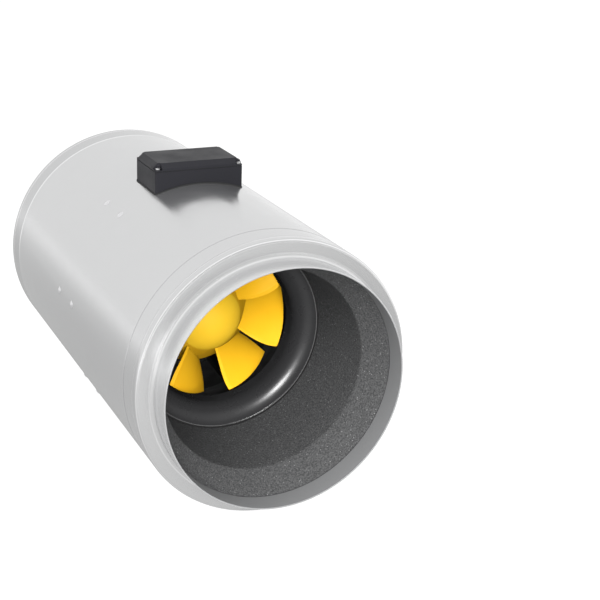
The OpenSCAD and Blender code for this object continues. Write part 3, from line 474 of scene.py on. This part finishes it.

# %% [markdown]
# The painted highlight lines are added to the bright tone, and the painted shadow line to the dull
# one. Then both are joined by the distance from the axis. The inside is also rougher and less of a
# metal than the outside.

# %% Painted highlights and shadow on the caps
# Painted highlight lines at the seam, at the rim's bend and at the spigot's foot.
painted_seam_highlight = combine(tree, "MULTIPLY", ring_line(tree, from_middle, seam_from_middle, seam_half), on_rim)
painted_bend_highlight = ring_line(tree, radius, bend_line, bend_half)
painted_foot_highlight = ring_line(tree, radius, foot_line, foot_half)
painted_highlights = combine(tree, "MAXIMUM", painted_foot_highlight, combine(tree, "MAXIMUM", painted_bend_highlight, painted_seam_highlight))
bright = mixed(tree, painted_highlights, satin, painted_highlight_zinc)
# The dark line inside at the foam's lip is a painted shadow.
dull = mixed(tree, ring_line(tree, from_middle, lip_from_middle, lip_half), inside_zinc, painted_lip_shadow)
tree.links.new(mixed(tree, outside, dull, bright), shader.inputs["Base Color"])
tree.links.new(remap(tree, outside, low=0.30, high=0.95), shader.inputs["Metallic"])
rings = turning_marks(tree, across=900, along=900, detail=4)
smears = remap(tree, clouds, low=0.9, high=1.1)
inside_rough = combine(tree, "MULTIPLY", remap(tree, outside, low=0.26, high=0), smears)
satin_rough = spread(tree, rings, low=0.20, high=0.24)
tree.links.new(combine(tree, "ADD", satin_rough, inside_rough), shader.inputs["Roughness"])
tree.links.new(relief(tree, rings, depth_mm=0.003, strength=0.15), shader.inputs["Normal"])
print(pressed.name, "is ready for the caps")

# %% [markdown]
# ## Bright zinc on rivets and screws
# Small plated parts are shinier than sheet and carry tiny scratches from the driver.

# %% Fastener zinc
zinc = one_texture_finish(
    "bright_zinc", lambda tree: noise(tree, scale=900, detail=4, where=stretched(tree, (1, 0.3, 3))),
    dark=(0.70, 0.70, 0.71), pale=(0.84, 0.84, 0.85), roughness=(0.18, 0.34),
    bump_mm=0.02, strength=0.3, metallic=1.0,
)
paint(zinc, "bell_screws", "bracket_screws", "bracket_rivets", "motor_screws", "impeller_screws",
      "box_screws", "lid_screws", "terminal_screws")

# %% [markdown]
# ## Black glass-filled plastic
# The bell mouth is moulded in black plastic with a satin gloss. Its skin is never quite flat: a
# shallow ripple breaks up the long highlight, and a very fine grain dulls it. The thin bead at its
# edge has a painted highlight on the crest, and the flat rim outside it is rough, with painted shade
# in its colour, so the distance from the axis mixes three tones. Housing, vanes and cone behind the
# impeller are black without the gloss and darker still, a painted shade that keeps the gaps between
# the blades deep.

# %% Black mouldings
bead_crest = 103.5 * MM
rim_start = 104.2 * MM
blur = 0.25 * MM
lip_dark, lip_pale = (0.009, 0.009, 0.0094), (0.013, 0.013, 0.0134)
# Grey of the painted highlight on the bead's crest, and black of the painted shade on the rim.
painted_crest_highlight, painted_rim_shade = (0.065, 0.065, 0.065), (0.002, 0.002, 0.002)
rim_roughness = 0.7

black, tree, shader = start_finish("black_moulding")
shader.inputs["IOR"].default_value = 1.34
radius, _ = radius_and_station(tree)
ripple = noise(tree, scale=60, detail=3)
fibres = noise(tree, scale=1800, detail=3)
# A painted highlight on the bead's crest, and painted shade on the flat rim outside it.
crest = ring_line(tree, radius, bead_crest, 2 * blur)
on_rim = step_up(tree, radius, rim_start - blur, rim_start + blur)
painted_highlights = mixed(tree, crest, mixed(tree, fibres, lip_dark, lip_pale), painted_crest_highlight)
tree.links.new(mixed(tree, on_rim, painted_highlights, painted_rim_shade), shader.inputs["Base Color"])
gloss = spread(tree, ripple, low=0.26, high=0.31)
rough_rim = remap(tree, on_rim, low=0, high=rim_roughness)
tree.links.new(combine(tree, "MAXIMUM", gloss, rough_rim), shader.inputs["Roughness"])
skin = relief(tree, ripple, depth_mm=0.05, strength=0.2)
tree.links.new(relief(tree, fibres, depth_mm=0.004, strength=0.2, under=skin), shader.inputs["Normal"])
paint(black, "bell_mouth")

# A black darker than the bell's: painted shade for the gaps between the blades.
matt_painted_shade_dark, matt_painted_shade_pale = (0.0015, 0.0015, 0.0015), (0.004, 0.004, 0.004)
matt, tree, shader = start_finish("matt_black_painted_shade")
shader.inputs["Specular IOR Level"].default_value = 0.05
ripple = noise(tree, scale=60, detail=3)
fibres = noise(tree, scale=1800, detail=3)
tree.links.new(mixed(tree, fibres, matt_painted_shade_dark, matt_painted_shade_pale), shader.inputs["Base Color"])
tree.links.new(spread(tree, ripple, low=0.55, high=0.68), shader.inputs["Roughness"])
tree.links.new(relief(tree, fibres, depth_mm=0.03, strength=0.3), shader.inputs["Normal"])
paint(matt, "stator_housing", "guide_vanes", "motor_drum", "lead_conduit", "tail_cone")

# %% [markdown]
# ## Golden yellow impeller
# The impeller is moulded through and through in yellow, so its colour is deep and even, with
# faint flow marks where the plastic ran from the hub to the blade tips. The hub's cap is a separate
# moulding; its paler copy of the yellow is painted light that brightens the dome, so one function
# makes both. A yellow this strong would tint the black bell and the grey foam all round, so both
# pieces are hidden from glossy and diffuse rays.

# %% Yellow mouldings
def yellow_plastic(name, deep, pale):
    """Moulded yellow between two tones, with slow flow marks and a fine grain."""
    material, tree, shader = start_finish(name)
    flow = noise(tree, scale=55, detail=4)
    grain = noise(tree, scale=1500, detail=2)
    tree.links.new(mixed(tree, flow, deep, pale), shader.inputs["Base Color"])
    tree.links.new(spread(tree, flow, low=0.34, high=0.46), shader.inputs["Roughness"])
    skin = relief(tree, flow, depth_mm=0.1, strength=0.2)
    tree.links.new(relief(tree, grain, depth_mm=0.015, strength=0.25, under=skin), shader.inputs["Normal"])
    return material


golden = yellow_plastic("yellow_moulding", deep=(0.92, 0.478, 0.012), pale=(0.96, 0.532, 0.020))
# The hub cap's paler copy of the yellow is painted light on the dome.
painted_light_yellow = yellow_plastic("yellow_moulding_painted_lighter", deep=(0.93, 0.558, 0.024), pale=(0.97, 0.612, 0.036))
for finish, name in ((golden, "impeller"), (painted_light_yellow, "hub_cap")):
    paint(finish, name)
    nodes[name].visible_glossy = False
    nodes[name].visible_diffuse = False

# %% [markdown]
# ## Anthracite terminal box
# The box and its lid have the fine spark-eroded grain of small enclosures. It scatters light, so
# the sides look like slate and only the chamfers catch a soft line.

# %% Box plastic
box_dark, box_pale = (0.0134, 0.0134, 0.0160), (0.0200, 0.0200, 0.0238)
anthracite, tree, shader = start_finish("anthracite_grain")
shader.inputs["Specular IOR Level"].default_value = 0.20
spark = noise(tree, scale=1400, detail=4)
handling = noise(tree, scale=35, detail=3)
tree.links.new(mixed(tree, spark, box_dark, box_pale), shader.inputs["Base Color"])
tree.links.new(spread(tree, handling, low=0.42, high=0.56), shader.inputs["Roughness"])
tree.links.new(relief(tree, spark, depth_mm=0.06, strength=0.5), shader.inputs["Normal"])
paint(anthracite, "box_base", "box_lid")

gland = one_texture_finish(
    "gland_nylon", lambda tree: noise(tree, scale=900, detail=3),
    dark=(0.020, 0.020, 0.022), pale=(0.034, 0.034, 0.036), roughness=(0.34, 0.48),
    bump_mm=0.03, strength=0.35,
)
paint(gland, "gland_body", "gland_nut", "gland_locknut")

# %% [markdown]
# ## Rubber seals and the lead
# Seals, grommet and the lead's sheath are matt black rubber with a little bloom on the surface.

# %% Rubber
rubber_dark, rubber_pale = (0.012, 0.012, 0.012), (0.026, 0.026, 0.027)
rubber, tree, shader = start_finish("black_rubber")
bloom = noise(tree, scale=160, detail=4)
tree.links.new(mixed(tree, bloom, rubber_dark, rubber_pale), shader.inputs["Base Color"])
tree.links.new(spread(tree, bloom, low=0.68, high=0.86), shader.inputs["Roughness"])
pores = noise(tree, scale=1100, detail=2)
tree.links.new(relief(tree, pores, depth_mm=0.04, strength=0.4), shader.inputs["Normal"])
paint(rubber, "motor_lead", "lead_grommet", "saddle_seal", "box_gasket", "gland_seal")

# %% [markdown]
# ## Inside the motor
# These finishes lie behind the impeller or in the box, and show only when the fan is taken apart:
# turned steel, cast aluminium, the stack of thin stator sheets, the magnet ring, copper wire, ground
# bearings and ivory terminals. Each follows one texture, so one function makes them all.

# %% Motor finishes
turned_steel = one_texture_finish(
    "turned_steel", lambda tree: turning_marks(tree, across=1500, along=1500, detail=3),
    dark=(0.40, 0.41, 0.43), pale=(0.56, 0.57, 0.59), roughness=(0.25, 0.42),
    bump_mm=0.02, strength=0.4, metallic=1.0,
)
paint(turned_steel, "rotor_can", "shaft", "shaft_clip")

cast = one_texture_finish(
    "die_cast_aluminium", lambda tree: noise(tree, scale=420, detail=5),
    dark=(0.55, 0.56, 0.57), pale=(0.70, 0.71, 0.72), roughness=(0.38, 0.58),
    bump_mm=0.06, strength=0.4, metallic=1.0,
)
paint(cast, "motor_flange")

stack = one_texture_finish(
    "stator_sheets", lambda tree: turning_marks(tree, across=0.1, along=2000, detail=0),
    dark=(0.16, 0.165, 0.18), pale=(0.34, 0.345, 0.36), roughness=(0.35, 0.55),
    bump_mm=0.1, strength=0.6, metallic=1.0,
)
paint(stack, "stator_core")

ferrite = one_texture_finish(
    "ferrite_ring", lambda tree: noise(tree, scale=800, detail=4),
    dark=(0.025, 0.025, 0.027), pale=(0.06, 0.06, 0.064), roughness=(0.45, 0.65),
    bump_mm=0.04, strength=0.4,
)
paint(ferrite, "rotor_magnets")

copper = one_texture_finish(
    "winding_wire", lambda tree: turning_marks(tree, across=1300, along=1300, detail=0),
    dark=(0.34, 0.13, 0.05), pale=(0.62, 0.28, 0.12), roughness=(0.28, 0.45),
    bump_mm=0.3, strength=0.8, metallic=0.8,
)
paint(copper, "windings")

ground = one_texture_finish(
    "ground_bearing_steel", lambda tree: turning_marks(tree, across=2500, along=2500, detail=3),
    dark=(0.62, 0.63, 0.65), pale=(0.74, 0.75, 0.77), roughness=(0.12, 0.22),
    bump_mm=0.005, strength=0.3, metallic=1.0,
)
paint(ground, "front_bearing", "rear_bearing")

ivory = one_texture_finish(
    "ivory_terminal_plastic", lambda tree: noise(tree, scale=600, detail=4),
    dark=(0.74, 0.72, 0.64), pale=(0.82, 0.80, 0.73), roughness=(0.4, 0.55),
    bump_mm=0.03, strength=0.35,
)
paint(ivory, "terminal_block")

# %% [markdown]
# ## Acoustic foam
# The lining is dark open-cell foam, peppered with pale flecks of its regrind. Four textures make
# it: tiny pits for the cells, a grain of dark and light pores, a slow cloud for the cut of the
# knife, and sparse bright cells for the flecks. It has next to no gloss.

# %% Foam finish
pit_scale = 1100
fleck_scale = 700
fleck_share = (0.935, 0.99)
fleck_size = (0.2, 0.5)
pore_reach = (0.35, 0.65)
foam_dark, foam_pale = (0.090, 0.0905, 0.0915), (0.106, 0.1065, 0.1075)
pore_tone, fleck_tone = (0.046, 0.0465, 0.0472), (0.26, 0.26, 0.26)

foam, tree, shader = start_finish("speckled_foam")
shader.inputs["Specular IOR Level"].default_value = 0.15
cloud = noise(tree, scale=40, detail=4)
pores = step_up(tree, noise(tree, scale=620, detail=3), *pore_reach)
draw = tree.nodes.new("ShaderNodeSeparateColor")
tree.links.new(cells(tree, fleck_scale, output="Color"), draw.inputs[0])
chosen = step_up(tree, draw.outputs[0], *fleck_share)
small = remap(tree, cells(tree, fleck_scale), 1, 0, *fleck_size)
fleck = combine(tree, "MULTIPLY", chosen, small)
grainy = mixed(tree, pores, pore_tone, mixed(tree, cloud, foam_dark, foam_pale))
tree.links.new(mixed(tree, fleck, grainy, fleck_tone), shader.inputs["Base Color"])
tree.links.new(remap(tree, cloud, low=0.88, high=0.98), shader.inputs["Roughness"])
tree.links.new(relief(tree, cells(tree, pit_scale), depth_mm=0.3, strength=0.5), shader.inputs["Normal"])
print("foam cells of about", round(1 / pit_scale / MM, 1), "mm")

# %% [markdown]
# ## Tools for round pieces
# Caps and foam rings are round about the fan's axis. Each could be a tube with chamfers, but a
# turner thinks in sections: half of the outline is drawn beside the axis, its corners are rounded
# with a vertex bevel, and the Spin tool carries the line once round. These helpers select points
# by their place, spin a section, and mirror a finished piece to the outlet.

# %% Tools for spun pieces
merge_distance = 0.01 * MM
ring_steps = 180
smooth_below = math.radians(40)


def select_points(mesh_object, test):
    """Selects the vertices whose place passes a test, in edit mode."""
    bpy.ops.mesh.select_all(action="DESELECT")
    bpy.ops.object.mode_set(mode="OBJECT")
    for v in mesh_object.data.vertices:
        v.select = test(v.co)
    for e in mesh_object.data.edges:
        e.select = all(mesh_object.data.vertices[i].select for i in e.vertices)
    for f in mesh_object.data.polygons:
        f.select = all(mesh_object.data.vertices[i].select for i in f.vertices)
    bpy.ops.object.mode_set(mode="EDIT")


def near(value, target, slack=0.05 * MM):
    """True when a coordinate lies at a target, give or take a twentieth of a millimetre."""
    return abs(value - target) < slack


def flat_section(name, r_in, r_out, y_front, y_back):
    """A rectangle beside the axis: X is the radius, Y the place along the fan."""
    bpy.ops.object.select_all(action="DESELECT")
    bpy.ops.mesh.primitive_plane_add(size=1, location=((r_in + r_out) / 2, (y_front + y_back) / 2, 0))
    section = bpy.context.object
    section.name = name
    section.scale = (r_out - r_in, y_back - y_front, 1)
    bpy.ops.object.transform_apply(location=True, rotation=True, scale=True)
    bpy.ops.object.mode_set(mode="EDIT")
    bpy.ops.mesh.select_mode(type="VERT")
    return section


def spin_closed(steps, angle=2 * math.pi):
    """Spins everything about the fan's axis, then merges the seam and turns the faces outwards."""
    bpy.ops.mesh.select_all(action="SELECT")
    bpy.ops.mesh.spin(steps=steps, angle=angle, center=(0, 0, 0), axis=(0, 1, 0))
    bpy.ops.mesh.select_all(action="SELECT")
    bpy.ops.mesh.remove_doubles(threshold=merge_distance)
    bpy.ops.mesh.normals_make_consistent(inside=False)


def at_outlet(piece, name):
    """A copy with its own mesh, mirrored to the other end of the fan and turned outwards again."""
    bpy.ops.object.select_all(action="DESELECT")
    piece.select_set(True)
    bpy.context.view_layer.objects.active = piece
    bpy.ops.object.duplicate()
    twin = bpy.context.object
    twin.name = name
    twin.scale.y = -1
    twin.location.y = fan_length
    bpy.ops.object.transform_apply(location=True, rotation=True, scale=True)
    bpy.ops.object.mode_set(mode="EDIT")
    bpy.ops.mesh.select_all(action="SELECT")
    bpy.ops.mesh.normals_make_consistent(inside=False)
    bpy.ops.object.mode_set(mode="OBJECT")
    return twin


print("spun pieces have", ring_steps, "steps")

# %% [markdown]
# ## End caps
# A cap is one pressed sheet: a straight spigot, a rounded foot, the end face, a rounded rim and a
# collar that slides into the casing. The drawn cap has a raised band at the spigot's foot. The
# photograph's foot is plain and round, so these caps take its place. A circle with one point for
# each corner of the section is the start, its points are moved to the corners, and the bevel
# rounds each corner by its own radius: wide at the foot, small at the mouth's edge.

# %% Cap section
sheet = 1.5 * MM
spigot_outside = 124.5 * MM
casing_outside = 142.5 * MM
collar_outside = 141.1 * MM
end_face = 30.5 * MM
rim_end = 39.8 * MM
collar_end = 64 * MM
foot_round = 3.6 * MM
rim_round = 3.4 * MM
edge_round = 0.6 * MM
arc_steps = 8

spigot_bore = spigot_outside - sheet
collar_bore = collar_outside - sheet
face_back = end_face + sheet
foot, rim = (spigot_outside, end_face), (casing_outside, end_face)
foot_inside, rim_inside = (spigot_bore, face_back), (collar_bore, face_back)
mouth_edges = ((spigot_outside, 0), (spigot_bore, 0))
seam_edge = (casing_outside, rim_end)
seam_inside = (collar_outside, rim_end)
outside_line = [mouth_edges[0], foot, rim, seam_edge, seam_inside, (collar_outside, collar_end)]
inside_line = [(collar_bore, collar_end), rim_inside, foot_inside, mouth_edges[1]]
cap_corners = outside_line + inside_line

bpy.ops.object.select_all(action="DESELECT")
bpy.ops.mesh.primitive_circle_add(vertices=len(cap_corners), fill_type="NGON")
inlet_shell = bpy.context.object
inlet_shell.name = "inlet_shell"
for point, (from_axis, from_mouth) in zip(inlet_shell.data.vertices, cap_corners):
    point.co = (from_axis, from_mouth, 0)
print("cap section with", len(cap_corners), "corners")

# %% [markdown]
# Every corner is rounded on the flat section, where a bevel is easy to control. Inside and outside
# of a bend have one centre, so the radii differ by the sheet's thickness. Then the face is
# deleted, its outline is spun, and the outlet gets a mirrored copy.

# %% Round and spin the caps
def round_corner(mesh_object, corner, radius):
    """Turns one corner of a flat section into an arc."""
    select_points(mesh_object, lambda p: near(p.x, corner[0]) and near(p.y, corner[1]))
    bpy.ops.mesh.bevel(offset=radius, segments=arc_steps, affect="VERTICES")


bpy.ops.object.mode_set(mode="EDIT")
bpy.ops.mesh.select_mode(type="VERT")
for corner, radius in ((foot, foot_round), (foot_inside, foot_round + sheet), (rim, rim_round),
                       (rim_inside, rim_round - sheet), (seam_edge, edge_round / 2),
                       (mouth_edges[0], edge_round), (mouth_edges[1], edge_round)):
    round_corner(inlet_shell, corner, radius)
bpy.ops.mesh.select_all(action="SELECT")
bpy.ops.mesh.delete(type="ONLY_FACE")
spin_closed(ring_steps)
bpy.ops.object.mode_set(mode="OBJECT")
bpy.ops.object.shade_smooth_by_angle(angle=smooth_below)
outlet_shell = at_outlet(inlet_shell, "outlet_shell")
for shell, node in ((inlet_shell, "inlet_cap"), (outlet_shell, "outlet_cap")):
    shell.data.materials.append(pressed)
    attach(shell, "housing")
    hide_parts(node)
    print(shell.name, len(shell.data.polygons), "faces, stands for", node)

# %% [markdown]
# ## Cutting the foam rings
# The foam is cut like a cheese from a thick tube: a straight bore, a wide tapered mouth and a thin
# lip that reaches into the spigot. Its section starts as a rectangle beside the axis.

# %% Inlet ring
foam_bore = 106.5 * MM
foam_mouth = 122.4 * MM
foam_lip = 122.8 * MM
foam_nose = 124.2 * MM
foam_outside = 139.5 * MM
nose_front = 25 * MM
shoulder_front = 32.2 * MM
taper_end = 55 * MM
ring_end = 236 * MM
nose_slack = 0.1 * MM
taper_slope = (foam_bore - foam_mouth) / (taper_end - nose_front)
taper_at_shoulder = foam_mouth + taper_slope * (shoulder_front - nose_front)

inlet_lining = flat_section("inlet_lining", foam_bore, foam_outside, taper_end, ring_end)
select_points(inlet_lining, lambda p: near(p.y, taper_end))
bpy.ops.mesh.extrude_region_move(TRANSFORM_OT_translate={"value": (0, shoulder_front - taper_end, 0)})
select_points(inlet_lining, lambda p: near(p.y, shoulder_front) and near(p.x, foam_bore))
bpy.ops.transform.translate(value=(taper_at_shoulder - foam_bore, 0, 0))
bpy.ops.mesh.select_all(action="SELECT")
bpy.ops.mesh.bisect(plane_co=(foam_nose, 0, 0), plane_no=(1, 0, 0))
select_points(inlet_lining, lambda p: near(p.y, shoulder_front) and p.x < foam_nose + nose_slack)
bpy.ops.mesh.extrude_region_move(TRANSFORM_OT_translate={"value": (0, nose_front - shoulder_front, 0)})
select_points(inlet_lining, lambda p: near(p.y, nose_front) and near(p.x, taper_at_shoulder))
bpy.ops.transform.translate(value=(foam_mouth - taper_at_shoulder, 0, 0))
select_points(inlet_lining, lambda p: near(p.y, nose_front) and near(p.x, foam_nose))
bpy.ops.transform.translate(value=(foam_lip - foam_nose, 0, 0))
print("section points:", len(inlet_lining.data.vertices))

# %% [markdown]
# The rectangle has become the template of the ring: one face with a slanted mouth and a small
# nose. Its parts are dissolved into a single outline, the corners are rounded, and only the
# outline is spun, so that no walls are left inside the foam.

# %% Round and spin the inlet ring
corner_round = 2.2 * MM
corner_steps = 4
bpy.ops.mesh.select_all(action="SELECT")
bpy.ops.mesh.dissolve_faces()
select_points(inlet_lining, lambda p: near(p.x, foam_bore) or near(p.y, ring_end))
bpy.ops.mesh.bevel(offset=corner_round, segments=corner_steps, affect="VERTICES")
bpy.ops.mesh.select_all(action="SELECT")
bpy.ops.mesh.delete(type="ONLY_FACE")
spin_closed(ring_steps)
bpy.ops.object.mode_set(mode="OBJECT")
bpy.ops.object.shade_smooth_by_angle(angle=smooth_below)
ring_box = [round(d / MM, 1) for d in inlet_lining.dimensions]
print("inlet ring:", len(inlet_lining.data.polygons), "faces, box", ring_box)

# %% [markdown]
# ## The outlet ring
# The outlet has the same ring turned end for end, so the helper that mirrored the cap mirrors the
# ring as well. A second section could be drawn, but two that must stay alike are better one.

# %% Outlet ring
outlet_lining = at_outlet(inlet_lining, "outlet_lining")
print("outlet ring from", round(min(v.co.y for v in outlet_lining.data.vertices) / MM, 1), "mm")

# %% [markdown]
# ## Blocks between the brackets
# Round the fan housing the foam is cut into eight blocks that fill the gaps between the sheet
# brackets. One block is spun through a short arc, turned to the middle of that arc, and its edges
# are softened with a Bevel modifier. It will be copied round the axis.

# %% One block
block_arc = math.radians(22.5)
block_steps = 12
block_bore = foam_bore + 0.3 * MM
block_outside = 140.9 * MM
block_front, block_back = 236.5 * MM, 303.5 * MM
soft_edge = 1.5 * MM
sharp_above = math.radians(50)

block = flat_section("middle_lining", block_bore, block_outside, block_front, block_back)
spin_closed(block_steps, block_arc)
bpy.ops.object.mode_set(mode="OBJECT")
points = [v.co for v in block.data.vertices]
middle_of_arc = math.atan2(sum(p.z for p in points), sum(p.x for p in points))
block.rotation_euler.y = middle_of_arc
bpy.ops.object.transform_apply(location=True, rotation=True, scale=True)
softened = block.modifiers.new("soft_edges", "BEVEL")
softened.width = soft_edge
softened.segments = 2
softened.limit_method = "ANGLE"
softened.angle_limit = sharp_above
bpy.ops.object.modifier_apply(modifier="soft_edges")
print("arc centred at", round(math.degrees(middle_of_arc), 1), "degrees:", len(block.data.polygons), "faces")

# %% [markdown]
# The copies are turned to the middle of each gap and joined. The brackets stand eight degrees off
# the top, so the blocks do too. An Array modifier turned by an empty would do the same, but here
# each angle stays in sight.

# %% Eight blocks
bracket_turn = 8
blocks_round = 8
blocks = [block]
for i in range(1, blocks_round):
    copy = block.copy()
    copy.data = block.data.copy()
    bpy.context.collection.objects.link(copy)
    blocks.append(copy)
bpy.ops.object.select_all(action="DESELECT")
for i, piece in enumerate(blocks):
    turn = bracket_turn + (i + 0.5) * 360 / blocks_round
    piece.rotation_euler.y = math.radians(turn - 90)
    piece.select_set(True)
bpy.context.view_layer.objects.active = block
bpy.ops.object.transform_apply(location=True, rotation=True, scale=True)
bpy.ops.object.join()
middle_lining = bpy.context.object
print("middle blocks:", len(middle_lining.data.polygons), "faces")

# %% [markdown]
# The lead leaves the motor through one of the blocks. A cylinder is the punch for its hole: an exact
# round cut through a bevelled block is slow by hand, and quick with a Boolean modifier.

# %% Hole for the lead
lead_turn = math.radians(-12.5)
lead_station = 285 * MM
lead_hole = 10.5 * MM
punch_length = 80 * MM
punch_reach = 125 * MM
block_smooth_below = math.radians(30)

bpy.ops.object.select_all(action="DESELECT")
bpy.ops.mesh.primitive_cylinder_add(vertices=48, radius=lead_hole, depth=punch_length)
punch = bpy.context.object
punch.rotation_euler.y = lead_turn
lead_out = Vector((math.sin(lead_turn), 0, math.cos(lead_turn)))
punch.location = lead_out * punch_reach + Vector((0, lead_station, 0))
hole = middle_lining.modifiers.new("lead_hole", "BOOLEAN")
hole.object = punch
hole.operation = "DIFFERENCE"
bpy.context.view_layer.objects.active = middle_lining
bpy.ops.object.modifier_apply(modifier="lead_hole")
bpy.data.objects.remove(punch)
middle_lining.select_set(True)
bpy.ops.object.shade_smooth_by_angle(angle=block_smooth_below)
print("with the hole:", len(middle_lining.data.polygons), "faces")

# %% [markdown]
# ## Foam in its place
# The soft pieces stand for the plain solids of the drawing and belong to the housing.

# %% Foam in its place
linings = ((inlet_lining, "inlet_foam"), (middle_lining, "middle_foam"), (outlet_lining, "outlet_foam"))
for lining, node in linings:
    lining.data.materials.clear()
    lining.data.materials.append(foam)
    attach(lining, "housing")
    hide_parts(node)
    print(lining.name, "stands for", node)
